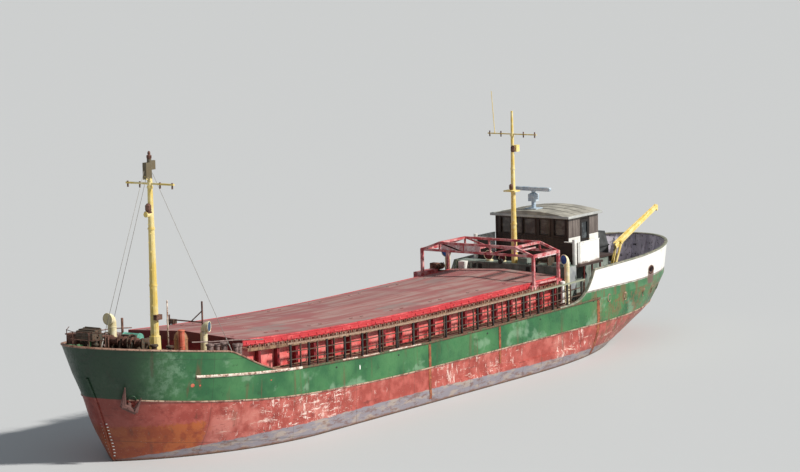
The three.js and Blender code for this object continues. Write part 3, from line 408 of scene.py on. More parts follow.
def side_paint():
    """Dull green topside paint over red and grey bottom paint, with scrapes, weld lines and rust runs."""
    finish = Finish("topside_and_bottom_paint", "#1d5a33")
    broad = patches(1.8, 4)
    middle = patches(0.45)
    fine = patches(0.09, 5, 0.65)
    along, height = ("along", "x"), ("along", "z")
    below = (("ADD", ("stored", "above_strake"), ("MULTIPLY", fine, 0.05)), 0.045, 0.025)
    finish.layer("#437a49", 1, (broad, 0.36, 0.62))
    finish.layer("#2a6a3c", 0.7, (middle, 0.5, 0.7))
    finish.layer("#93b096", 0.42, (patches(1.1, 5, 0.55, (1, 1, 0.8)), 0.56, 0.68))
    finish.layer("#16401f", 0.5, (patches(0.5, 6, 0.7, (1, 1, 0.6)), 0.6, 0.68))
    faded = (("ADD", ("ABSOLUTE", ("SUBTRACT", along, 18.4)), ("MULTIPLY", middle, 1.8)), 1.75, 1.15)
    finish.layer("#7fa585", 0.6, faded, (patches(0.25, 6, 0.7), 0.42, 0.6))
    # Bottom paint, with a patch of bare orange-brown primer low at the bow.
    finish.layer("#9a4036", 1, below)
    finish.layer("#b55a50", 0.9, below, (middle, 0.4, 0.62))
    finish.layer("#c98478", 0.6, below, (broad, 0.52, 0.7))
    finish.layer("#7a2a22", 0.7, below, (patches(0.7, 6, 0.65), 0.57, 0.66))
    fore = (("ADD", along, ("MULTIPLY", middle, 1.2)), 16.9, 17.2)
    low = (("ADD", height, ("MULTIPLY", fine, 0.5)), 1.72, 1.6)
    finish.layer("#9c4620", 0.95, fore, low)
    finish.layer("#b9642f", 0.7, fore, low, (middle, 0.45, 0.6))
    # Pale scrapes along the red band, which bulges out and is rubbed the most.
    rubbed = (patches(2.6, 2, 0.5, (1, 1, 0.35)), 0.45, 0.53)
    aft_of_bow = (along, 16.2, 15.2)
    finish.layer("#e8d4ca", 0.9, below, aft_of_bow, rubbed, (patches(0.16, 6, 0.78, (1, 1, 4)), 0.585, 0.61))
    finish.layer("#e2cbbd", 0.8, below, aft_of_bow, rubbed, (patches(0.16, 6, 0.78, (5, 5, 1)), 0.6, 0.63))
    worst = (("ABSOLUTE", ("SUBTRACT", along, 11.4)), 3.4, 2.0)
    finish.layer("#e8d4ca", 0.9, below, worst, (patches(0.12, 6, 0.78, (5, 5, 1)), 0.57, 0.6))
    finish.layer("#ead8ce", 0.8, below, worst, (patches(0.12, 6, 0.78, (1, 1, 4)), 0.585, 0.61))
    finish.layer("#d8b0a4", 0.6, below, (patches(0.1, 5, 0.7, (1.4, 1.4, 0.3)), 0.64, 0.67))
    finish.layer("#6a2a22", 0.6, below, (patches(0.5, 6, 0.7, (2, 2, 0.25)), 0.6, 0.66))
    # Grey boot topping, and the wet brown edge below it.
    boot = (("ADD", ("stored", "above_boot"), ("MULTIPLY", middle, 0.16)), 0.1, 0.06)
    finish.layer("#87828a", 1, boot)
    finish.layer("#a8998c", 0.7, boot, (patches(0.9, 4, 0.55, (1, 1, 0.25)), 0.48, 0.62))
    finish.layer("#6d4434", 0.6, boot, (patches(0.5, 6, 0.7, (1, 1, 0.3)), 0.52, 0.62))
    finish.layer("#7a4a28", 0.8, (("ADD", height, ("MULTIPLY", middle, 0.2)), 0.24, 0.12))
    finish.layer("#33291c", 0.85, (("ADD", height, ("MULTIPLY", fine, 0.1)), 0.13, 0.06))
    # Rust runs from the strake and the deck's edge, rust blotches at the stern, and dark chips all over.
    finish.layer("#6b3f2c", 0.5, (patches(0.38, 5, 0.6, (1, 1, 11)), 0.58, 0.7))
    aft = (along, -9.0, -12.5)
    finish.layer("#7d5a36", 0.75, aft, (patches(0.5, 6, 0.72), 0.49, 0.59))
    finish.layer("#6b5a38", 0.8, aft, (patches(0.3, 5, 0.65, (1, 1, 5)), 0.53, 0.61))
    finish.layer("#3a3a26", 0.7, aft, (patches(0.16, 6, 0.72, (1, 1, 1.6)), 0.6, 0.66))
    finish.layer("#35261d", 0.85, (patches(0.17, 6, 0.72, (1.3, 1.3, 1)), 0.665, 0.69))
    # Painted shade: the green and the red are darkened round the stem, where the bow turns away from the sun.
    stem = (("ADD", along, ("MULTIPLY", middle, 0.8)), 17.4, 20.2)
    finish.layer("#0c2617", 0.9, stem, (("stored", "above_strake"), -0.02, 0.02))
    finish.layer("#5a2418", 0.6, stem, below)
    # Weld lines of the shell plates.
    rows = ("PINGPONG", ("stored", "above_strake"), 0.82)
    butts = ("PINGPONG", along, 2.05)
    finish.layer("#23291f", 0.35, (rows, 0.022, 0.008))
    finish.layer("#23291f", 0.35, (butts, 0.022, 0.008))
    finish.bump(("ADD", ("MULTIPLY", ("PINGPONG", along, 0.32), 0.4), ("MULTIPLY", middle, 0.8)), 0.035, 0.4)
    finish.bump(("ADD", rows, butts), 0.01, 0.12)
    return finish.done(0.42, fine, 0.22)


def bulwark_paint():
    """White gloss above the green, with rust freckles, for the plating round the stern."""
    finish = Finish("stern_gloss_paint", "#e9e9e5")
    fine = patches(0.09, 6, 0.7)
    finish.layer("#cfd0c8", 0.8, (patches(0.9), 0.5, 0.72))
    green = (("ADD", ("along", "z"), ("MULTIPLY", patches(0.3), 0.05)), 3.03, 3.01)
    finish.layer("#2f6a3f", 1, green)
    finish.layer("#4d7f55", 0.8, green, (patches(0.8), 0.4, 0.6))
    finish.layer("#6b5a38", 0.8, green, (patches(0.3, 5, 0.65, (1, 1, 5)), 0.5, 0.58))
    # Rust creeps along the edge of the green, and spreads round the mooring holes.
    border = ("ADD", ("ABSOLUTE", ("SUBTRACT", ("along", "z"), 3.03)), ("MULTIPLY", patches(0.3), 0.06))
    finish.layer("#5f4a3a", 0.8, (border, 0.07, 0.05))
    beside = ("ADD", ("ABSOLUTE", ("SUBTRACT", ("along", "x"), FAIRLEAD_X)), ("MULTIPLY", patches(0.3), 0.5))
    finish.layer("#6a4c42", 0.9, (beside, 0.68, 0.58), (("along", "z"), 3.52, 3.36))
    finish.layer("#4c382c", 0.85, (fine, 0.64, 0.67))
    finish.layer("#8a6a50", 0.45, (patches(0.2, 4, 0.55, (1, 1, 8)), 0.64, 0.74))
    finish.bump(fine, 0.006, 0.3)
    return finish.done(0.4)


def cover_paint():
    """Sun-bleached red paint on steel lids: pinkish grey on top, with long streaks, bright at the lip."""
    finish = Finish("bleached_lid_paint", "#9c6360")
    streak = patches(0.32, 5, 0.6, (14, 1, 3))
    finish.layer("#a98a84", 1, (streak, 0.38, 0.62))
    finish.layer("#9a5a5b", 0.7, (patches(2.2, 4), 0.48, 0.62))
    finish.layer("#b04a50", 0.45, (patches(0.2, 6, 0.7, (12, 1, 3)), 0.58, 0.66))
    finish.layer("#8d8580", 0.6, (patches(1.0, 5, 0.6, (3, 1, 1)), 0.55, 0.66))
    finish.layer("#57342f", 0.7, (patches(0.16, 6, 0.7), 0.67, 0.7))
    edge = ("ADD", ("ABSOLUTE", ("along", "y")), ("MULTIPLY", patches(0.9), 0.3))
    finish.layer("#c5353c", 0.95, (edge, 2.84, 2.96))
    finish.layer("#de6a68", 0.6, (edge, 2.84, 2.96), (patches(0.25, 6, 0.6, (3, 1, 1)), 0.55, 0.66))
    # Painted shade: dark red on the first cover's fore face, which turns away from the sun.
    finish.layer("#6d1d1e", 0.85, (("along", "x"), 14.26, 14.3))
    finish.bump(patches(1.6, 3), 0.05, 0.4)
    return finish.done(0.6)


def rail_paint():
    """Dark rusty flat bar with a hand-worn, paler top rail."""
    finish = Finish("worn_rail_steel", "#362b25")
    speckle = patches(0.07, 6, 0.7)
    finish.layer("#6a4c3a", 0.8, (speckle, 0.45, 0.6))
    rise = ("POWER", ("MAXIMUM", ("SUBTRACT", ("along", "x"), AMIDSHIPS), 0.0), 2.0)
    rail = ("SUBTRACT", ("SUBTRACT", ("along", "z"), DECK_AMIDSHIPS + 0.96), ("MULTIPLY", rise, SHEER_FORE))
    finish.layer("#5c4638", 0.8, (rail, -0.9, -0.7), (speckle, 0.4, 0.55))
    finish.layer("#a58c78", 1, (rail, 0.0, 0.02))
    finish.layer("#7c5a48", 0.9, (rail, 0.0, 0.02), (speckle, 0.46, 0.58))
    finish.layer("#8f9a86", 0.8, (rail, 0.0, 0.02), (("along", "x"), -3.0, -6.0))
    finish.bump(speckle, 0.008, 0.5)
    return finish.done(0.7)


def boards(name, dark, light):
    """Varnished tongue-and-groove boards standing on end, with a groove between them."""
    finish = Finish(name, dark)
    groove = ("PINGPONG", ("ADD", ("along", "x"), ("along", "y")), 0.075)
    finish.layer(light, 1, (patches(0.11, 6, 0.65, (1, 1, 11)), 0.38, 0.68))
    finish.layer("#120c09", 0.75, (groove, 0.012, 0.004))
    finish.bump(groove, 0.02, 0.3)
    return finish.done(0.5)


def float_glass(name, tint, dirt, rough):
    """Float glass before a dark room: nearly black, with sharp reflections and a film of dirt."""
    finish = Finish(name, tint)
    finish.layer(dirt, 0.8, (patches(0.35, 4, 0.55, (1, 1, 0.6)), 0.4, 0.7))
    finish.shader.inputs["IOR"].default_value = 1.52
    return finish.done(rough)


def mast_paint():
    """Cream gloss with a few rust runs, and a sooty, greasy head where the sheaves and lamps are."""
    finish = Finish("mast_gloss_paint", "#e6c96a")
    finish.layer("#f0dfa0", 1, (patches(0.5), 0.4, 0.66))
    finish.layer("#9a7440", 0.6, (patches(0.12, 4, 0.55, (1, 1, 9)), 0.64, 0.74))
    finish.layer("#4c453d", 0.92, (("ADD", ("along", "z"), patches(0.1, 5, 0.7)), 11.0, 11.1))
    finish.bump(patches(0.08, 6, 0.7), 0.008, 0.3)
    return finish.done(0.45)


def boat_deck_paint():
    """White enamel on the wing screens, brown on their fore panels and the deck, dark red under it."""
    finish = Finish("boat_deck_enamels", "#f6f6f2")
    height = ("along", "z")
    finish.layer("#dfe0da", 0.8, (patches(0.5), 0.45, 0.7))
    finish.layer("#6b4a38", 0.8, (("ADD", height, ("MULTIPLY", patches(0.3), 0.25)), 4.36, 4.28))
    finish.layer("#4a3c38", 1, (height, 4.13, 4.11))
    finish.layer("#6a2620", 1, (height, 4.0, 3.98))
    finish.layer("#3a1c18", 0.8, (height, 4.0, 3.98), (patches(0.2), 0.5, 0.65))
    finish.layer("#6b4a38", 0.8, (patches(0.12, 6, 0.7), 0.66, 0.69))
    finish.layer("#33261f", 1, (("along", "x"), -10.46, -10.44))
    finish.bump(patches(0.1, 6, 0.7), 0.006, 0.3)
    return finish.done(0.5)


MATERIALS = {
    # Paints that change over the ship, each with a function of its own.
    "topside": side_paint(),
    "stern_white": bulwark_paint(),
    "lid": cover_paint(),
    "rail": rail_paint(),
    "mast": mast_paint(),
    "boat_deck": boat_deck_paint(),
    # Brushed enamels: an even gloss, bleached in patches and chipped to brown rust along edges.
    "lip": weathered_paint("bright_red_lip_enamel", "#c83640", "#dc6062", "#5e221f", 0.3, 0.6, 0.7),
    "coaming": weathered_paint("bright_red_wall_enamel", "#dc5856", "#ea8a84", "#8c2a2a", 0.5, 0.64, 0.62),
    # Painted shade: the coaming's red, darkened for the brackets and the coaming's end walls.
    "painted_shade_red": weathered_paint("red_enamel_darkened_as_painted_shade", "#861e2a", "#a53e42", "#42181a", 0.3, 0.6, 0.7),
    "crane": weathered_paint("chipped_red_enamel", "#b64a50", "#dba8a6", "#5b2a26", 0.26, 0.61, 0.7),
    "pale_crane": weathered_paint("thin_white_enamel", "#e4dcdb", "#c78f90", "#7a3430", 0.3, 0.62, 0.7),
    "cream": weathered_paint("cream_enamel", "#e6c96a", "#f0dfa0", "#9a7440", 0.24, 0.68, 0.72),
    "vent_cream": weathered_paint("cowl_enamel", "#e0d3a4", "#efe7c8", "#8a6440", 0.22, 0.63, 0.66),
    "white": weathered_paint("white_enamel", "#f6f6f2", "#e4e4de", "#7d6248", 0.36, 0.68, 0.72),
    "scraped": weathered_paint("scraped_bar_paint", "#e6d9cc", "#b18f7c", "#6b4434", 0.3, 0.55, 0.62, 0.6),
    "bar": weathered_paint("rusty_rubbing_bar", "#6c4a36", "#4a5a3c", "#3b261c", 0.34, 0.56, 0.62, 0.65),
    "thin_bar": weathered_paint("worn_rubbing_bar", "#b79a86", "#7d5546", "#55302a", 0.4, 0.56, 0.62, 0.65),
    "ledge": weathered_paint("rust_stained_ledge", "#6b4a3c", "#9a7a5e", "#33231c", 0.2, 0.57, 0.7, 0.7),
    "inside": weathered_paint("lilac_white_enamel", "#e6e2ee", "#c4c0cc", "#1d1817", 0.55, 0.6, 0.6),
    "cap": weathered_paint("cap_rail_paint", "#747c6c", "#a09c8c", "#6b4a38", 0.25, 0.58, 0.7),
    "fore_cap": weathered_paint("worn_cap_rail", "#a5806c", "#7c5646", "#4a2e24", 0.25, 0.56, 0.7),
    "house": weathered_paint("grey_green_enamel", "#6e7b72", "#8f9a92", "#4b3a30", 0.42, 0.62, 0.6),
    "locker": weathered_paint("grey_locker_enamel", "#8b9094", "#a5a9a8", "#5c4a3e", 0.36, 0.64, 0.66),
    "motor": weathered_paint("green_motor_enamel", "#4b8f7c", "#74b3a1", "#3b4a3c", 0.22, 0.63, 0.7),
    "orange": weathered_paint("orange_enamel", "#c85640", "#d07a60", "#7a3324", 0.22, 0.64, 0.7),
    "mouth_red": weathered_paint("dark_red_throat_enamel", "#5c141c", "#7b2429", "#2a0c0e", 0.5, 0.7, 0.8),
    "mouth_blue": weathered_paint("blue_throat_enamel", "#1c4f94", "#2f6cb4", "#14264a", 0.5, 0.7, 0.8),
    "mouth_grey": weathered_paint("blue_grey_throat_enamel", "#34506c", "#4a6780", "#22303c", 0.5, 0.7, 0.8),
    "hood": weathered_paint("tan_hood_enamel", "#8a5c42", "#a67c5c", "#4a2e22", 0.3, 0.62, 0.68),
    "black": weathered_paint("bitumen_paint", "#1b1a19", "#2b2a28", "#3a2a20", 0.5, 0.68, 0.75),
    # Deck and roof paint: matt, walked on, dirty.
    "deck": weathered_paint("rusty_deck_paint", "#664a3f", "#8a6a5a", "#3f2b24", 0.6, 0.56, 0.9, 0.75),
    "roof": weathered_paint("grey_roof_paint", "#918e85", "#aeaba0", "#5a544c", 0.7, 0.7, 0.85, 0.62),
    "roof_edge": weathered_paint("pale_roof_band", "#a9acab", "#c3c4c0", "#5e5850", 0.4, 0.66, 0.75, 0.55),
    "funnel": weathered_paint("sooty_paint", "#303335", "#484b4d", "#231f1d", 0.37, 0.64, 0.6, 0.6),
    # Cast and rolled steel under old paint and grease: brown rust, a dull gleam where it works.
    "winch": weathered_paint("greasy_cast_steel", "#45483f", "#65584a", "#553726", 0.22, 0.5, 0.6, 0.55, 0.2),
    "rusty": weathered_paint("rusted_cast_steel", "#5e3f34", "#846053", "#33221b", 0.22, 0.56, 0.66, 0.78, 0.15),
    "post": weathered_paint("mauve_bollard_steel", "#7c6764", "#9a8580", "#46302a", 0.22, 0.57, 0.68, 0.75, 0.1),
    "anchor": weathered_paint("mauve_anchor_steel", "#5c3f3a", "#7a5650", "#3a231d", 0.3, 0.58, 0.7, 0.75),
    "patch": weathered_paint("bare_primer", "#84452c", "#a9653f", "#4b2c20", 0.25, 0.55, 0.56, 0.6),
    "old_bronze": weathered_paint("cast_bronze", "#8a6a3a", "#6f5a38", "#3f4a38", 0.3, 0.62, 0.8, 0.45, 0.8),
    # Gel-coated fibreglass: smooth, chalky and nearly unmarked.
    "radar": weathered_paint("pale_blue_gelcoat", "#a4b6c6", "#d2dae0", "#7d8b94", 0.4, 0.72, 0.85, 0.4),
    # Steel wire, too fine to show its lay at this distance: a dull grey line.
    "wire": weathered_paint("galvanised_wire_rope", "#8d8a84", "#a8a49c", "#6b5a4c", 0.12, 0.6, 0.8, 0.6),
    # Old varnish on boards: dark, with the grain standing on end, and bleached where the sun reaches it.
    "wood": boards("varnished_boards", "#33251f", "#4d3a32"),
    "grey_wood": boards("bleached_boards", "#5a504b", "#837973"),
    "dark_wood": boards("soaked_door_boards", "#17120f", "#2c221d"),
    # Window glass with the dark room behind it: nearly black, with a film of dust.
    "front_glass": float_glass("dusty_window_glass", "#4a443f", "#757068", 0.25),
    "glass": float_glass("door_window_glass", "#1d2226", "#5d6568", 0.1),
}


def circle(count, across=1.0, up=None):
    """Even places round a circle, or an oval, as pairs of distances from its centre."""
    turns = [2 * math.pi * i / count for i in range(count)]
    return [(across * math.cos(a), (across if up is None else up) * math.sin(a)) for a in turns]


def hoop(centre, way, radius, count):
    """Even places on a circle round a centre, square to a way."""
    turn = Vector(way).to_track_quat("Z", "X")
    return [Vector(centre) + turn @ Vector((a, b, 0)) for a, b in circle(count, radius)]


class Shape:
    """Collects simple forms, in ship metres, into one mesh."""

    def __init__(self):
        self.points, self.faces, self.slots, self.smooth = [], [], [], []

    def block(self, rings, slot=0, smooth=False, slots=None, closed=False, caps=True):
        """A skin over rings of corners, closed at both ends, or running round as a loop."""
        count, last = len(rings[0]), len(rings) - 1
        strips = [(r, (r + 1) % len(rings)) for r in range(len(rings) if closed else last)]
        start = len(self.points)
        self.points += [tuple(p) for ring in rings for p in ring]
        for low, high in strips:
            for i in range(count):
                j = (i + 1) % count
                a, b = start + low * count, start + high * count
                self.faces.append((a + i, a + j, b + j, b + i))
                self.slots.append(slots[i] if slots else slot)
                self.smooth.append(smooth)
        if caps and not closed:
            end = start + last * count
            self.faces += [tuple(reversed(range(start, start + count))), tuple(range(end, end + count))]
            self.slots += [slot, slot]
            self.smooth += [False, False]

    def box(self, x1, x2, y1, y2, z1, z2, slot=0):
        """A block between places along the ship, across it and up."""
        self.block([[(x1, y1, z), (x2, y1, z), (x2, y2, z), (x1, y2, z)] for z in (z1, z2)], slot)

    def side_box(self, x1, x2, inner, outer, z1, z2, side, slot=0):
        """A box on one side of the ship; inner and outer are measured from the centreline."""
        self.box(x1, x2, *sorted((side * inner, side * outer)), z1, z2, slot)

    def tube(self, rings, sides=12, slot=0, closed=False):
        """A round skin over rings of (centre, way along, radius)."""
        self.block([hoop(*ring, sides) for ring in rings], slot, True, closed=closed)

    def turned(self, start, end, profile, sides=16, slot=0):
        """A turned form from start to end; profile holds (part of the length, radius)."""
        start, way = Vector(start), Vector(end) - Vector(start)
        self.tube([(start + way * part, way, radius) for part, radius in profile], sides, slot)

    def upright(self, x, y, foot, top, profile, sides=16, slot=0):
        """A turned form that stands on end."""
        self.turned((x, y, foot), (x, y, top), profile, sides, slot)

    def rod(self, start, end, radius, end_radius=None, sides=10, slot=0):
        """A round bar between two points, which may taper."""
        self.turned(start, end, [(0, radius), (1, end_radius or radius)], sides, slot)

    def pole(self, x, y, foot, top, radius, end_radius=None, sides=10, slot=0):
        """A rod that stands on end."""
        self.rod((x, y, foot), (x, y, top), radius, end_radius, sides, slot)

    def path(self, places, radius, sides=8, slot=0, closed=False):
        """A round bar bent along a row of places."""
        places = [Vector(p) for p in places]
        count = len(places)
        rings = []
        for i, place in enumerate(places):
            before = places[i - 1] if i or closed else place
            after = places[(i + 1) % count] if i < count - 1 or closed else place
            rings.append((place, after - before, radius))
        self.tube(rings, sides, slot, closed)

    def ring(self, centre, way, radius, thick, slot=0, sides=20):
        """A hoop of round bar."""
        self.path(hoop(centre, way, radius, sides), thick, 6, slot, True)

    def bar(self, start, end, wide, deep, slot=0):
        """A flat bar between two points; deep is measured level across it."""
        start, end = Vector(start), Vector(end)
        way = (end - start).normalized()
        side = way.cross(Vector((0, 0, 1)))
        side = side.normalized() if side.length > 1e-4 else Vector((0, 1, 0))
        across, up = side * deep / 2, side.cross(way) * wide / 2
        corners = ((-1, -1), (1, -1), (1, 1), (-1, 1))
        self.block([[place + across * a + up * b for a, b in corners] for place in (start, end)], slot)

    def ball(self, centre, radius, tall=1.0, slot=0, sides=16):
        """A ball, or an egg that is tall times as high as it is wide."""
        turns = [math.pi * i / (sides // 2) for i in range(sides // 2 + 1)]
        profile = [(0.5 - 0.5 * math.cos(a), max(0.002, radius * math.sin(a))) for a in turns]
        x, y, z = centre
        self.upright(x, y, z - radius * tall, z + radius * tall, profile, sides, slot)

    def plate(self, outline, out, thick, slot=0):
        """A plate of even thickness from its corners, grown along out."""
        out = Vector(out).normalized() * thick
        self.block([[Vector(p) for p in outline], [Vector(p) + out for p in outline]], slot)

    def cowl(self, x, y, foot, top, radius, mouth, reach, facing, throat=1):
        """A ventilator: a pipe with a flange, and a round hood that turns into a wide mouth."""
        up = Vector((0, 0, 1))
        axis = Vector((*facing, 0)).normalized()
        bend = 0.95 * mouth
        neck = Vector((x, y, top - mouth - 0.1 * radius - bend))
        rings = [((x, y, foot), up, radius * 1.5), ((x, y, foot + 0.05), up, radius * 1.5),
                 ((x, y, foot + 0.051), up, radius), (neck, up, radius)]
        for i in range(1, 8):
            angle = QUARTER_TURN * i / 7
            centre = neck + axis * reach * (1 - math.cos(angle)) + up * bend * math.sin(angle)
            rings.append((centre, axis * math.sin(angle) + up * math.cos(angle),
                          radius + (mouth * 0.93 - radius) * (i / 7) ** 1.5))
        front = rings[-1][0] + axis * reach * 0.3
        rings += [(front, axis, mouth), (front + axis * 0.01, axis, mouth * 0.97), (front, axis, mouth * 0.9)]
        self.tube(rings, 20)
        self.turned(front - axis * 0.02, front + axis * 0.003,
                    [(0, mouth * 0.9), (1, mouth * 0.86)], 20, throat)
        self.ring(neck - up * 0.1, up, radius, 0.014)

    def make(self, name, materials, body=SHIP, bevel=0.0, replaces=(), slot=None, weld=False):
        """Makes the mesh object, gives it its materials and lets it ride on a body."""
        mesh = bpy.data.meshes.new(name)
        mesh.from_pydata([(x * SCALE, y * SCALE, z * SCALE) for x, y, z in self.points], [], self.faces)
        mesh.polygons.foreach_set("material_index", self.slots)
        mesh.polygons.foreach_set("use_smooth", self.smooth)
        for material in materials:
            mesh.materials.append(MATERIALS[material])
        repair(mesh, weld)
        piece = bpy.data.objects.new(name, mesh)
        bpy.context.scene.collection.objects.link(piece)
        if bevel:
            edge = piece.modifiers.new("edge", "BEVEL")
            edge.width, edge.segments, edge.limit_method = bevel * SCALE, 2, "ANGLE"
        if replaces:
            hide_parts(*replaces)
        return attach(piece, body)


SHARP_EDGE = math.radians(35)


def repair(mesh, weld=False):
    """Turns all faces outwards, keeps sharp edges crisp, and merges doubled points if asked."""
    work = bmesh.new()
    work.from_mesh(mesh)
    if weld:
        bmesh.ops.remove_doubles(work, verts=work.verts, dist=1e-5)
        bmesh.ops.dissolve_degenerate(work, edges=work.edges, dist=1e-6)
    bmesh.ops.recalc_face_normals(work, faces=work.faces)
    for edge in work.edges:
        if len(edge.link_faces) == 2 and edge.calc_face_angle() > SHARP_EDGE:
            edge.smooth = False
    work.to_mesh(mesh)
    work.free()


def settle(piece):
    """Turns a piece's modifiers into its mesh."""
    graph = bpy.context.evaluated_depsgraph_get()
    graph.update()
    mesh = bpy.data.meshes.new_from_object(piece.evaluated_get(graph))
    piece.modifiers.clear()
    piece.data = mesh
    return piece


def both_sides(make):
    """Calls make once for port and once for starboard."""
    for name, side in (("port", 1), ("starboard", -1)):
        make(name, side)


# Rows of equal small parts, made with Geometry Nodes.
def row_tree():
    """Puts a block or a round stud on every point of a mesh, turned along the way kept there."""
    tree = bpy.data.node_groups.new("row_of_parts", "GeometryNodeTree")
    tree.interface.new_socket("Geometry", in_out="INPUT", socket_type="NodeSocketGeometry")
    for name in ("Length", "Width", "Height"):
        tree.interface.new_socket(name, in_out="INPUT", socket_type="NodeSocketFloat")
    tree.interface.new_socket("Round", in_out="INPUT", socket_type="NodeSocketBool")
    tree.interface.new_socket("Paint", in_out="INPUT", socket_type="NodeSocketMaterial")
    tree.interface.new_socket("Geometry", in_out="OUTPUT", socket_type="NodeSocketGeometry")
    given = add_node(tree, "NodeGroupInput").outputs
    size = add_node(tree, "ShaderNodeCombineXYZ", {0: given["Length"], 1: given["Width"], 2: given["Height"]})
    block = add_node(tree, "GeometryNodeMeshCube", {"Size": size.outputs[0]})
    stud = add_node(tree, "GeometryNodeMeshCylinder", {"Vertices": 8, "Radius": 0.5, "Depth": 1.0})
    stud = add_node(tree, "GeometryNodeTransform", {
        "Geometry": stud.outputs["Mesh"], "Scale": size.outputs[0]})
    part = add_node(tree, "GeometryNodeSwitch", {
        "Switch": given["Round"], "False": block.outputs["Mesh"], "True": stud.outputs[0]},
        input_type="GEOMETRY")
    way = add_node(tree, "GeometryNodeInputNamedAttribute", {"Name": "way"}, data_type="FLOAT_VECTOR")
    turn = add_node(tree, "FunctionNodeAlignRotationToVector", {"Vector": way.outputs[0]}, axis="X")
    rows = add_node(tree, "GeometryNodeInstanceOnPoints", {
        "Points": given["Geometry"], "Instance": part.outputs[0], "Rotation": turn.outputs[0]})
    real = add_node(tree, "GeometryNodeRealizeInstances", {0: rows.outputs[0]})
    painted = add_node(tree, "GeometryNodeSetMaterial", {
        "Geometry": real.outputs[0], "Material": given["Paint"]})
    add_node(tree, "NodeGroupOutput", {0: painted.outputs[0]})
    return tree


ROWS = row_tree()


def row(name, places, length, width, height, paint, body=SHIP, ways=None, studs=False):
    """A row of blocks or studs at places, in ship metres; ways says where each one's length points."""
    mesh = bpy.data.meshes.new(name)
    mesh.from_pydata([Vector(p) * SCALE for p in places], [], [])
    kept = mesh.attributes.new("way", "FLOAT_VECTOR", "POINT")
    for i in range(len(places)):
        kept.data[i].vector = Vector(ways[i]).normalized() if ways else (1, 0, 0)
    piece = bpy.data.objects.new(name, mesh)
    bpy.context.scene.collection.objects.link(piece)
    tool = piece.modifiers.new("row", "NODES")
    tool.node_group = ROWS
    given = {"Length": length * SCALE, "Width": width * SCALE, "Height": height * SCALE, "Round": studs,
             "Paint": MATERIALS[paint]}
    for socket in ROWS.interface.items_tree:
        if socket.in_out == "INPUT" and socket.name in given:
            tool[socket.identifier] = given[socket.name]
    settle(piece)
    repair(piece.data)
    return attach(piece, body)


# Hull plating.
def store_heights(mesh):
    """Keeps each point's height above the paint lines on the mesh, for the paint."""
    strake = mesh.attributes.new("above_strake", "FLOAT", "POINT")
    boot = mesh.attributes.new("above_boot", "FLOAT", "POINT")
    for i, vertex in enumerate(mesh.vertices):
        x, z = vertex.co.x / SCALE, vertex.co.z / SCALE
        strake.data[i].value = z - strake_line(x)
        boot.data[i].value = z - boot_line(x)


def cut_out(piece, tool):
    """Takes the tool's space out of a piece, and the tool with it."""
    cut = piece.modifiers.new("cut", "BOOLEAN")
    cut.operation, cut.object, cut.solver, cut.use_self = "DIFFERENCE", tool, "EXACT", True
    settle(piece)
    repair(piece.data)
    bpy.data.objects.remove(tool)


def hull_plating():
    """Round hull with its decks and hold, in place of the plain solid."""
    columns = [side_column(region, value) for region, value in HULL_PLACES]
    for column in (columns[0], columns[-1]):
        column[:] = [(x, 0.0, z) for x, _, z in column]
    half = len(columns[0])
    slots = [0] * (2 * half)
    slots[half - 1] = 1
    shape = Shape()
    shape.block([port + [(x, -y, z) for x, y, z in reversed(port)] for port in columns],
                smooth=True, slots=slots, caps=False)
    whole = shape.make("hull_plating", ["topside", "deck", "black"], weld=True)
    hold = Shape()
    hold.box(HOLD_AFT, HOLD_FORE, -HOLD_HALF, HOLD_HALF, HOLD_FLOOR, 6, 2)
    cut_out(whole, hold.make("hold_space", ["topside", "deck", "black"]))
    for polygon in whole.data.polygons:
        polygon.use_smooth = polygon.material_index == 0
    store_heights(whole.data)
    whole.modifiers.new("edges", "EDGE_SPLIT").split_angle = math.radians(40)
    settle(whole)
    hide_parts("hull")


def keel_and_stern_gear():
    """Skeg, stern tube, rudder tube and stem bar, under and before the plating."""
    shape = Shape()
    skeg = [(-12, -0.2), (-12, -1.3), (-13, -1.4), (-18.8, -1.4), (-18.8, -1.27), (-17.45, -1.27),
            (-17.45, 0.1), (-16.5, 0.3), (-12.5, 0.3)]
    stem = [(16.4, -1.3), (16.7, -1.38), (17.6, -1.2), (18.28, -0.74), *((x, z) for z, x in STEM_LINE),
            (20.1, 3.42), (19.5, 2), (18.6, 0), (17.9, -0.8)]
    shape.plate([(x, -0.12, z) for x, z in skeg], (0, 1, 0), 0.24)
    shape.plate([(x, -0.05, z) for x, z in stem], (0, 1, 0), 0.1)
    shape.rod((-15, 0, -0.6), (-17.55, 0, -0.6), 0.2, 0.16, 20)
    shape.pole(-18.6, 0, 0.06, 1.1, 0.15, 0.17, 20)
    store_heights(shape.make("keel_and_stern_gear", ["topside"], slot="hull_paint").data)


# Bars along the side: outline, aft end, fore end, rise over the outline, height, how far proud, paint.
SIDE_BARS = {
    "deck_moulding_fore": ("deck", 11.8, 17.15, 0.02, 0.1, 0.055, "scraped"),
    "deck_moulding_middle": ("deck", -10.6, 11.8, 0.02, 0.085, 0.045, "bar"),
    "deck_moulding_worn_1": ("deck", 8.1, 9.1, 0.045, 0.06, 0.05, "scraped"),
    "deck_moulding_worn_2": ("deck", 6.6, 7.7, 0.045, 0.06, 0.05, "scraped"),
    "deck_moulding_worn_3": ("deck", 3.6, 5.9, 0.045, 0.06, 0.05, "scraped"),
    "rubbing_strake": ("strake", -18.4, 19.2, 0, 0.06, 0.035, "thin_bar"),
}


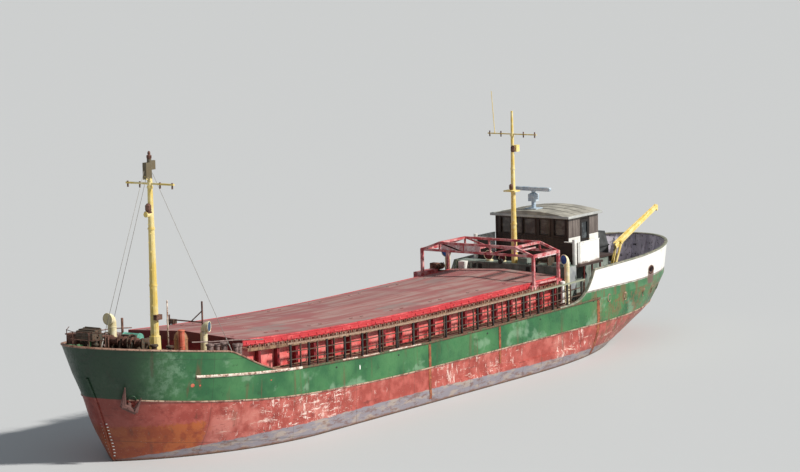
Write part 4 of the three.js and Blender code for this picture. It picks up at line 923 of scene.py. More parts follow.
def side_bars():
    """Rubbing bars that follow the hull's side, rounded on their outer edge."""
    section = [(-0.04, -0.5), (0.6, -0.5), (0.9, -0.25), (1, 0), (0.9, 0.25), (0.6, 0.5), (-0.04, 0.5)]
    for bar_name, (outline, aft, fore, rise, tall, proud, paint) in SIDE_BARS.items():
        level = LEVELS[outline]
        edge = [level.place(region, value) for region, value in HULL_PLACES]
        run = [(aft, along_line(edge, aft)), *(p for p in edge if aft < p[0] < fore),
               (fore, along_line(edge, fore))]

        def one(name, side):
            rings = []
            for i, (x, y) in enumerate(run):
                before, after = run[max(0, i - 1)], run[min(len(run) - 1, i + 1)]
                way = Vector((after[0] - before[0], after[1] - before[1])).normalized()
                height = rise + (deck_z(x) if outline == "deck" else level.height(x))
                rings.append([(x - way.y * proud * out, side * (y + way.x * proud * out), height + tall * up)
                              for out, up in section])
            shape = Shape()
            shape.block(rings, smooth=True)
            shape.make(f"{bar_name}_{name}", [paint], slot="hull_paint")
        both_sides(one)


def bulwark_rows(stations):
    """Cross-sections of a bulwark: its plate, with a rolled cap rail on top."""
    rows = []
    for (lx, ly), (hx, hy), (ox, oy), top in stations:
        foot = deck_z(lx)
        section = [(lx, ly, foot)]
        for part in (0.33, 0.67):
            section.append((lx + (hx - lx) * part, ly + (hy - ly) * part, foot + (top - 0.06 - foot) * part))
        for out, up in ((0, -0.06), (0.03, -0.055), (0.04, -0.03), (0.03, 0), (0, 0.004), (-0.09, 0.004),
                        (-0.12, -0.015), (-0.12, -0.045), (-0.05, -0.06)):
            section.append((hx + ox * out, hy + oy * out, top + up))
        section.append((lx - ox * 0.05, ly - oy * 0.05, deck_z(lx - ox * 0.05)))
        rows.append(section)
    return rows


BULWARK_SLOTS = [0, 0, 0, 1, 1, 1, 1, 1, 1, 1, 1, 2, 0]


def with_outward(pairs, sign, top):
    """Adds to each pair of places the way outwards and the height of the bulwark there."""
    stations = []
    for i, (low, high) in enumerate(pairs):
        before, after = pairs[max(0, i - 1)][1], pairs[min(len(pairs) - 1, i + 1)][1]
        way = Vector((after[0] - before[0], after[1] - before[1])).normalized()
        stations.append((low, high, (-way.y * sign, way.x * sign), top(high[0])))
    (lx, _), (hx, _), _, end_top = stations[-1]
    stations[-1] = ((lx, 0.0), (hx, 0.0), (sign, 0.0), end_top)
    return stations


def mirrored_round(stations):
    """Continues port stations over the middle to starboard."""
    return stations + [((l[0], -l[1]), (h[0], -h[1]), (o[0], -o[1]), top) for l, h, o, top in
                       reversed(stations[:-1])]


def bow_plating():
    """Bow bulwark with its cap rail, and the raised foredeck inside it."""
    stations = with_outward(bow_stations(FORE_SWEEP[0], 56), 1, fore_top)
    shape = Shape()
    shape.block(bulwark_rows(mirrored_round(stations)), smooth=True, slots=BULWARK_SLOTS)
    rings = []
    for low, high in bow_stations(BREAK_X, 40)[:-1]:
        foot = deck_z(low[0]) + 0.002
        part = FOREDECK_RISE / (fore_cap(high[0]) - foot)
        x, y = low[0] + (high[0] - low[0]) * part, low[1] + (high[1] - low[1]) * part - 0.025
        edge = low[1] - 0.025
        top = foredeck_z(x)
        rings.append([(low[0], edge, foot), (x, y, top), (x, -y, top), (low[0], -edge, foot)])
    shape.block(rings, 3)
    piece = shape.make("bow_plating", ["topside", "fore_cap", "topside", "deck"], replaces=["forecastle"],
                       slot="hull_paint")
    store_heights(piece.data)
    return stations


def stern_plating():
    """White bulwark round the stern, sloping down to the deck at its fore end."""
    low, high = AFT_SWEEP
    straight = [low - (low - high) * i / 24 for i in range(25)] + [-10.9, -11.6, -12.3, -12.9]
    deck, cap = LEVELS["deck"], LEVELS["aft_cap"]
    pairs = [((x, HALF_BEAM), (x, HALF_BEAM)) for x in straight]
    pairs += [(deck.aft(QUARTER_TURN * i / 40), cap.aft(QUARTER_TURN * i / 40)) for i in range(1, 41)]
    stations = with_outward(pairs, -1, aft_top)
    shape = Shape()
    shape.block(bulwark_rows(mirrored_round(stations)), smooth=True, slots=BULWARK_SLOTS)
    piece = shape.make("stern_plating", ["stern_white", "cap", "inside"], weld=True)
    cutter = Shape()
    for side in (1, -1):
        for x in (FAIRLEAD_X - 0.12, FAIRLEAD_X + 0.12):
            cutter.rod((x, side * 1.85, FAIRLEAD_Z), (x, side * 3.9, FAIRLEAD_Z), 0.16, sides=20, slot=2)
    cut_out(piece, cutter.make("fairlead_space", ["inside"] * 3))
    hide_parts("aft_bulwark")
    return stations


def bulwark_stays(name, stations, material):
    """Triangular brackets that brace a bulwark from inside, one at every fifth station."""
    shape = Shape()
    for low, high, (ox, oy), top in stations[::5]:
        base = foredeck_z(low[0]) if low[0] > BREAK_X else deck_z(low[0] - ox * 0.3)
        if top - base < 0.5 or low[1] < 0.3:
            continue
        for side in (1, -1):
            corners = [(low, 0.06, base), (low, 0.34, base), (high, 0.1, top - 0.06)]
            shape.plate([(place[0] - ox * inward, side * (place[1] - oy * inward), z)
                         for place, inward, z in corners], (-oy, ox * side, 0), 0.02)
    shape.make(name, [material])


# Marks and fittings on the shell.
PLATE_SUNK = 0.03


def shell_point(x, z, along, rise, proud, side):
    """A point beside a place on the shell, measured along it, up it and out of it."""
    centre, out, up = side_place(x, z)
    p = centre + out.cross(up) * along + up * rise + out * proud
    return p.x, side * p.y, p.z


def shell_plate(shape, x, z, wide, tall, side, proud=0.02, slot=0):
    """An oval plate that lies on the shell."""
    out = side_place(x, z)[1]
    rim = [shell_point(x, z, a, b, -PLATE_SUNK, side) for a, b in circle(20, wide / 2, tall / 2)]
    shape.plate(rim, (out.x, side * out.y, out.z), PLATE_SUNK + proud, slot)


def strip_down_side(shape, x, top, bottom, wide, side):
    """An upright doubling strip that follows the shell."""
    corners = ((-0.5, -0.02), (-0.5, 0.014), (0.5, 0.014), (0.5, -0.02))
    heights = [bottom + (top - bottom) * i / 10 for i in range(11)]
    shape.block([[shell_point(x, z, wide * a, 0, out, side) for a, out in corners] for z in heights])


# Places along the ship with heights, and after them widths and heights or lower ends.
PLATED_PORTHOLES = [(-11.41, 2.54), (-12.83, 2.44), (-14.8, 2.35), (-16.03, 2.31), (-17.18, 2.28)]
DOUBLERS = [(2.96, 0.17, 0.2), (-2.35, 0.15, 0.9), (-10.46, 0.22, 0.1)]
BARE_SPOTS = [(17.25, 2.9, 0.17, 0.14), (16.95, 2.86, 0.07, 0.07), (13.6, 2.62, 0.07, 0.05)]


def shell_marks():
    """Plated-over portholes, doubling strips, scuppers and bare spots on both sides."""
    def one(name, side):
        plates = Shape()
        for x, z in PLATED_PORTHOLES:
            shell_plate(plates, x, z, 0.28, 0.38, side)
            shell_plate(plates, x, z, 0.2, 0.28, side, 0.035, 1)
        store_heights(plates.make(f"plated_portholes_{name}", ["thin_bar", "topside"]).data)
        doublers = Shape()
        for x, wide, bottom in DOUBLERS:
            strip_down_side(doublers, x, sheer(x) - 0.05, bottom, wide, side)
        doublers.make(f"shell_doublers_{name}", ["patch"])
        # Painted shade: black discs on the shell stand for the dark insides of the scupper openings.
        holes = Shape()
        for x in (-10.05, -10.4):
            shell_plate(holes, x, 2.64, 0.13, 0.17, side, 0.008)
        for x in (9.5, 5.2, -1.4, -5.6):
            shell_plate(holes, x, sheer(x) - 0.2, 0.1, 0.07, side, 0.008)
        holes.make(f"scuppers_{name}", ["black"])
        spots = Shape()
        for x, z, wide, tall in BARE_SPOTS:
            shell_plate(spots, x, z, wide, tall, side, 0.006)
        shell_plate(spots, 7.92, 2.28, 0.07, 0.2, side, 0.006, 1)
        spots.make(f"bare_spots_{name}", ["orange", "white"])
    both_sides(one)


def draught_marks():
    """Rows of short welded dashes up both sides of the stem."""
    places = []
    for z in (0.24 + 0.13 * i for i in range(11)):
        x = along_line(STEM_LINE, z) - 0.07
        places += [shell_point(x, z, 0, 0, 0.004, side) for side in (1, -1)]
    ways = [(1, -math.copysign(0.9, y), 0) for _, y, _ in places]
    row("draught_dashes", places, 0.09, 0.012, 0.035, "white", ways=ways)


def hatch_coaming():
    """Upright walls round the hatch, with a ledge outside that the covers are wedged down to."""
    section = [(2.72, 0.001), (2.8, 0.001), (2.8, 0.85), (2.84, 0.87), (3.03, 0.87), (3.035, 0.8),
               (LEDGE_OUT, 0.8), (LEDGE_OUT, LEDGE_TOP), (2.84, LEDGE_TOP), (2.8, 0.95), (2.795, 0.99),
               (2.785, COVER_BASE), (2.72, COVER_BASE)]
    slots = [0, 0, 1, 1, 1, 1, 1, 1, 1, 0, 0, 0, 2]
    along = [COAMING_AFT + (COAMING_FORE - COAMING_AFT) * i / 60 for i in range(61)]
    shape = Shape()
    for side in (1, -1):
        shape.block([[(x, side * y, deck_z(x) + up) for y, up in section] for x in along], slots=slots)
    for end, way in ((COAMING_FORE, -1), (COAMING_AFT, 1)):
        base, inner = deck_z(end), end + way * COAMING_WALL
        shape.box(min(end, inner), max(end, inner), -2.73, 2.73, base + 0.001, base + COVER_BASE, 3)
    # The end walls take the coaming's red darkened as painted shade.
    shape.make("coaming_walls", ["coaming", "ledge", "black", "painted_shade_red"], replaces=["hatch_coaming"],
               slot="coaming_red", bevel=0.008)
    face = ((2.79, 0), (3.02, 0), (3.02, 0.87), (2.79, 0.87))
    brackets = Shape()
    for side in (1, -1):
        for x in (-8.14 + 1.2 * i for i in range(19)):
            base = deck_z(x)
            brackets.plate([(x, side * y, base + up) for y, up in face], (1, 0, 0), 0.03)
            brackets.side_box(x - 0.05, x + 0.08, 2.99, 3.02, base, base + 0.87, side)
    # Painted shade: the brackets take the coaming's red darkened, for their shaded fore faces.
    brackets.make("coaming_brackets", ["painted_shade_red"])
    cleats = [(x, side * 3.0, deck_z(x) + 0.965) for side in (1, -1)
              for x in (COAMING_AFT + 0.15 + 0.3 * i for i in range(76))]
    row("ledge_cleats", cleats, 0.13, 0.1, 0.1, "thin_bar")
    pins = [(x, y * 1.019, z + 0.02) for x, y, z in cleats]
    row("cleat_pins", pins, 0.04, 0.04, 0.16, "rusty", studs=True)


def cover_fittings():
    """Rounded lips, wedges and lifting rings, which move with each cover."""
    for i in range(1, COVER_COUNT + 1):
        body = f"cover_{i}"
        fore = HATCH_FORE - (i - 1) * COVER_PITCH - 0.02
        aft = HATCH_FORE - i * COVER_PITCH + 0.02
        low, high = deck_z(aft), deck_z(fore)
        lips = Shape()
        for side in (1, -1):
            for y, up, radius in ((2.83, 1.225, 0.035), (2.845, 1.045, 0.022)):
                lips.rod((aft, side * y, low + up), (fore, side * y, high + up), radius)
        lips.make(f"{body}_lips", ["lip"], body)
        rings = Shape()
        for x, part in ((aft + 0.35, 0.12), (fore - 0.35, 0.88)):
            for y in (-2.1, 2.1):
                top = COVER_RIDGE - (COVER_RIDGE - COVER_EDGE) * abs(y) / COVER_HALF
                rings.ring((x, y, low + (high - low) * part + top + 0.012), (0, 0, 1), 0.07, 0.014)
        rings.make(f"{body}_lifting_rings", ["lid"], body)
        wedges = [(x, side * 2.865, deck_z(x) + 1.11) for side in (1, -1)
                  for x in (aft + (fore - aft) * k / 5 for k in (0.5, 1.5, 2.5, 3.5, 4.5))]
        row(f"{body}_wedges", wedges, 0.09, 0.03, 0.07, "lip", body)


# Foredeck gear.
WINDLASS_X, WINDLASS_Z = 18.1, 4.52
MOTOR_X, MOTOR_FOOT, MOTOR_RADIUS = 17.4, 4.28, 0.21


def windlass_motor():
    """Motor under a round-topped green hood, on its seat beside the windlass."""
    hood = [(-MOTOR_RADIUS, 0)]
    hood += [(-MOTOR_RADIUS * math.cos(math.pi * i / 10), 0.25 + MOTOR_RADIUS * math.sin(math.pi * i / 10))
             for i in range(11)]
    hood += [(MOTOR_RADIUS, 0)]
    motor = Shape()
    for y, thick, wider, taller in ((-0.46, 0.75, 1, 1), (-0.48, 0.06, 1.07, 1.04), (0.25, 0.06, 1.07, 1.04)):
        motor.plate([(MOTOR_X + x * wider, y, MOTOR_FOOT + z * taller) for x, z in hood], (0, 1, 0), thick)
    motor.box(17.2, 17.6, -0.4, 0.2, foredeck_z(17.6) - 0.02, 4.3, 1)
    motor.pole(17.62, -0.1, 4.45, 4.66, 0.05, slot=1)
    motor.make("windlass_motor", ["motor", "winch"], bevel=0.012)


def windlass_guards():
    """Rims and spokes of the gear wheels, side frames, chain stoppers, warping posts and gear teeth."""
    gear = Shape()
    for y in (0.46, -0.8):
        gear.ring((WINDLASS_X, y, WINDLASS_Z), (0, 1, 0), 0.29, 0.03, sides=28)
        for a, b in circle(6, 0.29):
            x, z = WINDLASS_X + a, WINDLASS_Z + b
            gear.rod((x, y - 0.05, z), (x, y + 0.05, z), 0.02, sides=6)
    stopper = foredeck_z(18.7)
    for side in (1, -1):
        gear.side_box(17.9, 18.35, 1.12, 1.17, foredeck_z(17.6), 4.72, side)
        gear.rod((WINDLASS_X, side * 1.12, WINDLASS_Z), (WINDLASS_X, side * 1.32, WINDLASS_Z), 0.09, 0.06)
        gear.side_box(18.5, 18.9, 0.62, 0.92, stopper, stopper + 0.28, side)
        gear.ring((18.62, side * 0.77, stopper + 0.5), (1, 0, 0.3), 0.13, 0.016)
        gear.pole(18.62, side * 0.77, stopper + 0.2, stopper + 0.5, 0.025)
    gear.upright(17.85, 1.35, foredeck_z(17.9), foredeck_z(17.9) + 0.5,
                 [(0, 0.2), (0.15, 0.2), (0.16, 0.1), (0.8, 0.1), (0.85, 0.16), (1, 0.16)])
    gear.upright(17.4, 1.75, foredeck_z(17.4), foredeck_z(17.4) + 0.46,
                 [(0, 0.18), (0.12, 0.18), (0.14, 0.09), (0.8, 0.09), (0.85, 0.15), (1, 0.15)])
    gear.make("windlass_guards", ["winch"], bevel=0.006)
    spokes = circle(24)
    teeth = [(WINDLASS_X + 0.205 * a, y, WINDLASS_Z + 0.205 * b) for y in (0.395, -0.74) for a, b in spokes]
    row("gear_teeth", teeth, 0.03, 0.05, 0.025, "winch", "windlass", [(a, 0, b) for a, b in spokes] * 2)


def bow_tip_gear():
    """Upright and level rollers at the stem in their frame, with a box and thin rails round them."""
    roller = Shape()
    for y in (-0.3, 0.3):
        roller.upright(20.03, y, 4.66, 5.24, [(0, 0.13), (0.1, 0.13), (0.15, 0.09), (0.8, 0.09), (0.86, 0.13),
                                              (0.95, 0.13), (1, 0.06)], 14)
    roller.rod((20.03, -0.42, 4.98), (20.03, 0.42, 4.98), 0.06)
    roller.ring((20.28, 0, 5.02), (1, 0, 0), 0.1, 0.02)
    roller.box(19.9, 20.16, -0.4, 0.4, 5.2, 5.26)
    for y in (0.36, -0.36):
        roller.pole(19.8, y, 4.3, 5.3, 0.022)
    roller.rod((19.8, -0.36, 5.29), (19.8, 0.36, 5.29), 0.022)
    roller.make("bow_roller_fittings", ["winch"], bevel=0.006)
    tip = Shape()
    tip.box(19.95, 20.2, -0.95, -0.5, 4.66, 5.02)
    tip.box(19.9, 20.25, -1.0, -0.45, 5.02, 5.06)
    posts = [(20.2, -0.95), (20.5, -0.4), (20.5, 0.4), (20.2, 0.95)]
    for x, y in posts:
        tip.pole(x, y, 4.6, 5.22, 0.018, sides=6)
    for z in (4.92, 5.2):
        tip.path([(x, y, z) for x, y in [(19.6, -1.35)] + posts], 0.014, 6)
    tip.make("bow_tip_rails", ["rusty"])


def foredeck_poles():
    """Jack staff and other poles, the domed store hood, and the cap of the orange post."""
    poles = Shape()
    poles.rod((20.0, 0.05, 4.98), (18.93, 0, 4.85), 0.035)
    poles.pole(18.93, 0, foredeck_z(18.93), 4.88, 0.03)
    poles.pole(16.89, -1, foredeck_z(16.89), 5.19, 0.05)
    poles.pole(16.89, -1, foredeck_z(16.89), foredeck_z(16.89) + 0.1, 0.1)
    poles.make("foredeck_poles", ["rusty"])
    pale = Shape()
    pale.pole(15.35, 0, foredeck_z(15.35), 5.74, 0.035, 0.028)
    pale.pole(15.35, 0, foredeck_z(15.35), foredeck_z(15.35) + 0.12, 0.07)
    pale.make("pennant_pole", ["scraped"])
    dome = [QUARTER_TURN * i / 8 for i in range(1, 9)]
    profile = [(0, 0.33), (0.04, 0.33), (0.05, 0.27), (0.62, 0.27)]
    profile += [(0.62 + 0.38 * math.sin(a), max(0.01, 0.27 * math.cos(a))) for a in dome]
    hood = Shape()
    hood.upright(15.5, 0.75, foredeck_z(15.25) + 0.001, 4.63, profile, 28)
    hood.ring((15.5, 0.75, 4.3), (0, 0, 1), 0.275, 0.016, sides=28)
    hood.make("store_hood_dome", ["hood"], replaces=["store_hood"], slot="rust_brown")
    cap = Shape()
    cap.upright(16.87, 1.9, 4.88, 4.93, [(0, 0.14), (0.6, 0.14), (1, 0.09)])
    cap.ring((16.87, 1.9, 4.3), (0, 0, 1), 0.125, 0.014)
    cap.make("vent_post_cap", ["orange"])


def side_posts():
    """Mooring posts that stand in a row inside the bulwark, with a rail along them."""
    head = [(0, 0.13), (0.1, 0.165), (0.8, 0.165), (1, 0.13)]
    low_post = [(0, 0.1), (0.8, 0.1), (0.82, 0.14), (1, 0.14)]
    tall_post = [(0, 0.17), (0.04, 0.17), (0.05, 0.1), (0.9, 0.1), (0.92, 0.13), (1, 0.13)]

    def one(name, side):
        y = side * 2.72
        posts = Shape()
        for x, headed in ((16.175, True), (15.75, False), (15.325, True)):
            base = foredeck_z(x)
            if headed:
                posts.upright(x, y, base + 0.44, base + 0.53, head, 18)
                posts.ring((x, y, base + 0.09), (0, 0, 1), 0.135, 0.02)
            else:
                posts.upright(x, y, base + 0.05, base + 0.5, low_post, 18)
        for x in (14.72, 14.95):
            posts.upright(x, side * 3.0, deck_z(x), deck_z(x) + 1.15, tall_post, 18)
        rail = [(17.0, 2.5, foredeck_z(17) + 0.62), (16.2, 2.9, foredeck_z(16.2) + 0.62),
                (15.1, 3.12, foredeck_z(15.2) + 0.62), (13.6, 3.3, deck_z(13.6) + 1.25)]
        posts.path([(x, side * y, z) for x, y, z in rail], 0.025)
        posts.make(f"fore_mooring_posts_{name}", ["post"])
    both_sides(one)


def hawse_lip():
    """Lip of the hawse pipe behind the port anchor."""
    lip = Shape()
    lip.path([shell_point(19.12, 2.52, a, b, 0.008, 1) for a, b in circle(24, 0.15, 0.17)], 0.03, 8, 0, True)
    store_heights(lip.make("hawse_lip", ["topside"]).data)


def ventilators():
    """Cowl ventilators on the foredeck and beside the deckhouse, and the white air pipes."""
    air_pipe = [(0, 0.13), (0.05, 0.13), (0.06, 0.08), (0.86, 0.08), (0.88, 0.12), (0.97, 0.12), (1, 0.07)]
    fore = Shape()
    fore.cowl(17.2, -1.25, foredeck_z(17), 5.46, 0.17, 0.24, 0.2, (1, 0), 0)
    fore.make("fore_cowl", ["vent_cream"], replaces=["fore_vent"], slot="mast_cream")
    hatch = Shape()
    hatch.cowl(15.62, 2, foredeck_z(15.4), 5.12, 0.14, 0.22, 0.17, (-0.35, 0.94))
    hatch.make("hatch_cowl", ["vent_cream", "mouth_grey"], replaces=["hatch_vent"], slot="mast_cream")

    def one(name, side):
        cowl = Shape()
        cowl.cowl(-8.78, side * 3.2, deck_z(-8.78), 4.82, 0.12, 0.235, 0.14, (0.95, -0.3 * side))
        cowl.make(f"side_cowl_{name}", ["vent_cream", "mouth_blue"], replaces=[f"side_vent_{name}"],
                  slot="mast_cream")
        pipe = Shape()
        pipe.upright(-8.55, side * 3.1, deck_z(-8.55), 3.62, air_pipe)
        pipe.make(f"air_pipe_{name}", ["white"])
    both_sides(one)


def mast_collars(shape, mast_x, collars):
    """Bands round a mast, from pairs of height and radius."""
    for z, radius in collars:
        shape.pole(mast_x, 0, z, z + 0.06, radius, sides=16)


def mast_fittings():
    """Collars, lamps and sheaves on both masts, and the steps up the fore mast."""
    fore = Shape()
    mast_collars(fore, FORE_MAST_X, ((6.4, 0.165), (8.6, 0.145), (10.2, 0.125)))
    for y in (-1.1, -0.5, 0.5, 1.1):
        fore.pole(FORE_MAST_X, y, 10.2, 10.44, 0.035, slot=1)
    fore.upright(FORE_MAST_X + 0.15, 0, 9.3, 9.62, [(0, 0.09), (0.2, 0.12), (0.75, 0.12), (1, 0.05)], 14, 1)
    fore.box(16.16, 16.42, -0.1, 0.1, 9.24, 9.31, 1)
    fore.upright(FORE_MAST_X, 0, 11.3, 11.5, [(0, 0.07), (0.3, 0.1), (0.8, 0.1), (1, 0.04)], 14, 1)
    fore.ball((FORE_MAST_X, 0, 11.55), 0.06, 1.4, 1)
    fore.box(16.0, 16.35, 0.12, 0.28, 5.1, 5.3, 1)
    fore.make("fore_mast_fittings", ["cream", "rusty"])
    steps = [(FORE_MAST_X + 0.15 - 0.01 * (z - 4.8), 0.05 * (-1) ** int(z / 0.35), z)
             for z in (5.3 + 0.35 * i for i in range(13))]
    row("fore_mast_steps", steps, 0.1, 0.02, 0.02, "cream")
    aft = Shape()
    mast_collars(aft, AFT_MAST_X, ((4.5, 0.17), (5.9, 0.145), (8.4, 0.11), (9.9, 0.1)))
    for y in (-1.2, -0.6, 0.6, 1.2):
        aft.pole(AFT_MAST_X, y, 9.86, 10.12, 0.03, slot=1)
    aft.upright(AFT_MAST_X + 0.15, 0.12, 9.2, 9.5, [(0, 0.07), (0.2, 0.1), (0.75, 0.1), (1, 0.04)], 14, 1)
    aft.upright(AFT_MAST_X + 0.17, 0, 7.5, 7.75, [(0, 0.06), (0.2, 0.09), (0.8, 0.09), (1, 0.04)], 14, 1)
    aft.make("aft_mast_fittings", ["cream", "rusty"])


def stay_wires():
    """Thin wires in place of the part's thick stays, each with a turnbuckle at its foot."""
    wires = {"forestay": ((16.47, 0, 10.9), (19.5, 0)), "shroud_port": ((16.13, 0.117, 10.8), (15.25, 3.15)),
             "shroud_starboard": ((16.13, -0.117, 10.8), (15.25, -3.15))}
    for node, (head, (x, y)) in wires.items():
        wire = Shape()
        head, foot = Vector(head), Vector((x, y, foredeck_z(x)))
        near = foot.lerp(head, 0.1)
        wire.rod(foot, near, 0.02, sides=8)
        wire.rod(near, head, 0.009, sides=6)
        wire.make(f"{node}_wire", ["wire"], replaces=[node], slot="rail_brown")


# Portal crane.
def crane_fittings():
    """Pale upper bars, travel motor and bolts that ride with the portal crane."""
    web = Shape()
    web.box(-6.43, -6.37, -1.9, 0.17, 4.99, 5.27)
    web.box(-8.2, -6.7, 2.99, 3.02, 4.86, 4.93)
    web.box(-8.1, -6.5, 1.98, 2.02, 5.1, 5.16)
    web.box(-8.45, -8.41, -0.6, 2.2, 5.27, 5.33)
    web.make("crane_web_plate", ["pale_crane"], "portal", bevel=0.006)
    drive = Shape()
    drive.turned((-8.2, -3.12, 4.0), (-7.75, -3.12, 4.0),
                 [(0, 0.1), (0.02, 0.15), (0.75, 0.15), (0.77, 0.11), (1, 0.11)], 18)
    drive.box(-7.75, -7.45, -3.28, -2.94, 3.82, 4.2, 1)
    drive.ring((-7.6, -2.92, 4.02), (0, 1, 0), 0.13, 0.02)
    drive.rod((-7.6, -3.3, 4.02), (-7.6, -2.92, 4.02), 0.05)
    drive.box(-8.3, -7.2, -3.27, -2.93, 3.72, 3.8)
    drive.path([(-8.2, -3.12, 4.0), (-8.3, -3.1, 4.15), (-8.32, -3.05, 4.0), (-8.3, -3.0, 3.8)], 0.02)
    drive.make("crane_travel_motor", ["winch", "rusty"], "portal", bevel=0.008)
    bolts = [(x + dx, side * 3.012, z) for x in (-6.4, -8.45) for side in (1, -1)
             for z in (4.86, 3.72) for dx in (-0.03, 0.03)]
    row("crane_bolts", bolts, 0.03, 0.02, 0.03, "rusty", "portal")


# Houses aft.
FRONT_HOUSE_X, FRONT_HOUSE_TOP = -9.15, 4.151


def front_house_fittings():
    """Mouldings, ports and lockers on the deckhouse's front, and the cowls and winch on top of it."""
    face = FRONT_HOUSE_X
    front = Shape()
    front.box(face, -8.78, -2.62, -2.3, 3.6, 4.16, 1)
    front.box(face, face + 0.04, -2.95, 2.95, 4.1, 4.17)
    for y in (-2.0, -1.68, 0.9, 1.3):
        front.box(face, face + 0.02, y - 0.1, y + 0.1, 3.86, 4.06, 2)
    for y in (-2.94, -1.2, 0.4, 1.75, 2.94):
        front.box(face, face + 0.035, y - 0.03, y + 0.03, deck_z(face), 4.1)
    front.turned((face - 0.02, -0.53, 4.24), (face + 0.1, -0.53, 4.24),
                 [(0, 0.12), (0.8, 0.12), (1, 0.09)], 18, 2)
    front.make("front_house_trim", ["house", "white", "black"], bevel=0.006)
    top = FRONT_HOUSE_TOP
    cowls = Shape()
    cowls.cowl(-9.62, -1.45, top, 4.66, 0.11, 0.22, 0.15, (0.9, 0.3))
    cowls.cowl(-9.62, -0.72, top, 4.52, 0.09, 0.17, 0.12, (0.9, 0.3))
    cowls.make("front_house_cowls", ["vent_cream", "mouth_red"])
    winch = Shape()
    for y in (1.15, 1.9):
        winch.box(-9.75, -9.2, y, y + 0.05, top, 4.5)
    winch.turned((-9.47, 1.2, 4.4), (-9.47, 1.9, 4.4),
                 [(0, 0.17), (0.08, 0.17), (0.09, 0.11), (0.9, 0.11), (0.91, 0.17), (1, 0.17)], 18)
    winch.box(-9.8, -9.25, 0.3, 0.8, top, 4.42, 1)
    winch.upright(-9.5, 0.55, 4.42, 4.6, [(0, 0.16), (0.6, 0.16), (1, 0.1)], 18, 1)
    winch.box(-9.9, -9.3, 2.1, 2.7, top, 4.28, 1)
    winch.make("top_winch", ["winch", "house"], bevel=0.01)


def house_side_fittings():
    """Locker doors and portholes on the deckhouse's sides, and caps and pipes of the wing screens."""
    porthole = [(0, 0.2), (0.9, 0.2), (1, 0.17)]

    def one(name, side):
        trim = Shape()
        trim.side_box(-9.95, -9.17, 2.95, 2.965, 3.06, 4.13, side)
        for z in (3.3, 3.9):
            trim.side_box(-9.2, -9.12, 2.96, 2.985, z, z + 0.1, side, 1)
        trim.rod((-9.88, side * 2.965, 3.6), (-9.88, side * 3.0, 3.6), 0.03, slot=1)
        trim.pole(-9.88, side * 3.0, 3.48, 3.72, 0.014, slot=1)
        for x in (-13.9, -12.2, -10.9):
            trim.turned((x, side * 1.99, 3.35), (x, side * 2.04, 3.35), porthole, 24, 1)
            trim.rod((x, side * 2.03, 3.35), (x, side * 2.05, 3.35), 0.15, sides=24, slot=2)
        trim.make(f"house_side_trim_{name}", ["locker", "house", "glass"], bevel=0.005)
        screen = Shape()
        screen.side_box(-12.17, -10.5, 2.78, 2.86, 5.08, 5.12, side)
        screen.side_box(-10.42, -10.33, 2.1, 2.7, 5.08, 5.12, side)
        screen.pole(-10.32, side * 2.66, 4.1, 5.25, 0.1, sides=16)
        screen.make(f"wing_screen_trim_{name}", ["white"], bevel=0.01)
    both_sides(one)


WHEELHOUSE_AFT, WHEELHOUSE_FRONT = -13.5, -10.95
DOORWAY_AFT, DOORWAY_FORE = -12.72, -11.93
# Panes of the front: middle across the ship, and width.
FRONT_PANES = [(-1.42, 0.5), (-0.79, 0.5), (-0.15, 0.64), (0.675, 0.55), (1.485, 0.57)]


def wheelhouse_front():
    """Window beads, sills and corner boards."""
    face = WHEELHOUSE_FRONT
    wood = Shape()
    for y, wide in FRONT_PANES:
        low, high = y - wide / 2, y + wide / 2
        wood.box(face, face + 0.03, low - 0.05, low, 5.26, 6.02)
        wood.box(face, face + 0.03, high, high + 0.05, 5.26, 6.02)
        wood.box(face, face + 0.045, low - 0.06, high + 0.06, 5.22, 5.27)
    wood.box(face, face + 0.02, -1.95, 1.95, 5.1, 5.16)
    for y in (-1.95, 1.89):
        wood.box(face, face + 0.035, y, y + 0.06, 4.11, 6.07)
    wood.make("front_window_beads", ["wood"], bevel=0.006)


def wheelhouse_sides():
    """Bleached boards over white ones beside each door, and the door's frame, panel and handle."""
    def one(name, side):
        for piece, paint, low, high in (("side_boards", "grey_wood", 5.2, 6.07),
                                        ("side_lower_boards", "white", 4.11, 5.19)):
            cladding = Shape()
            for aft, fore in ((WHEELHOUSE_AFT, DOORWAY_AFT), (DOORWAY_FORE, WHEELHOUSE_FRONT)):
                cladding.side_box(aft, fore, 1.95, 1.975, low, high, side)
            cladding.make(f"{piece}_{name}", [paint], bevel=0.004)
        door = Shape()
        for x1, x2, z1, z2 in ((-12.68, -12.56, 4.22, 5.93), (-12.09, -11.97, 4.22, 5.93),
                               (-12.56, -12.09, 4.96, 5.05), (-12.56, -12.09, 5.8, 5.93),
                               (-12.56, -12.09, 4.22, 4.36)):
            door.side_box(x1, x2, 1.952, 1.975, z1, z2, side)
        door.side_box(-12.56, -12.09, 1.952, 1.97 if side > 0 else 1.975, 4.36, 4.96, side)
        door.rod((-12.62, side * 1.975, 5.0), (-12.62, side * 2.03, 5.0), 0.014, slot=1)
        door.rod((-12.64, side * 2.03, 5.0), (-12.52, side * 2.03, 5.0), 0.014, slot=1)
        door.make(f"door_panels_{name}", ["dark_wood", "old_bronze"], f"{name}_door", bevel=0.005)
    both_sides(one)


def wheelhouse_roof():
    """Pale band round the roof's edge, and the seams across its rounded top."""
    band = Shape()
    band.box(-10.76, -10.71, -2.1, 2.1, 6.1, 6.2)
    for side in (1, -1):
        band.side_box(-13.68, -10.72, 2.08, 2.12, 6.09, 6.2, side)
    band.make("roof_edge_band", ["roof_edge"], bevel=0.01)
    seams = Shape()
    corners = ((-0.02, 6.17), (0.02, 6.17), (0.02, 6.19), (-0.02, 6.19))
    for x in (-13.0, -12.3, -11.6):
        seams.block([[(x + dx, 2.05 * t, z + 0.24 * (1 - t * t)) for dx, z in corners]
                     for t in (-1 + i / 8 for i in range(17))])
    seams.make("roof_seams", ["roof"])


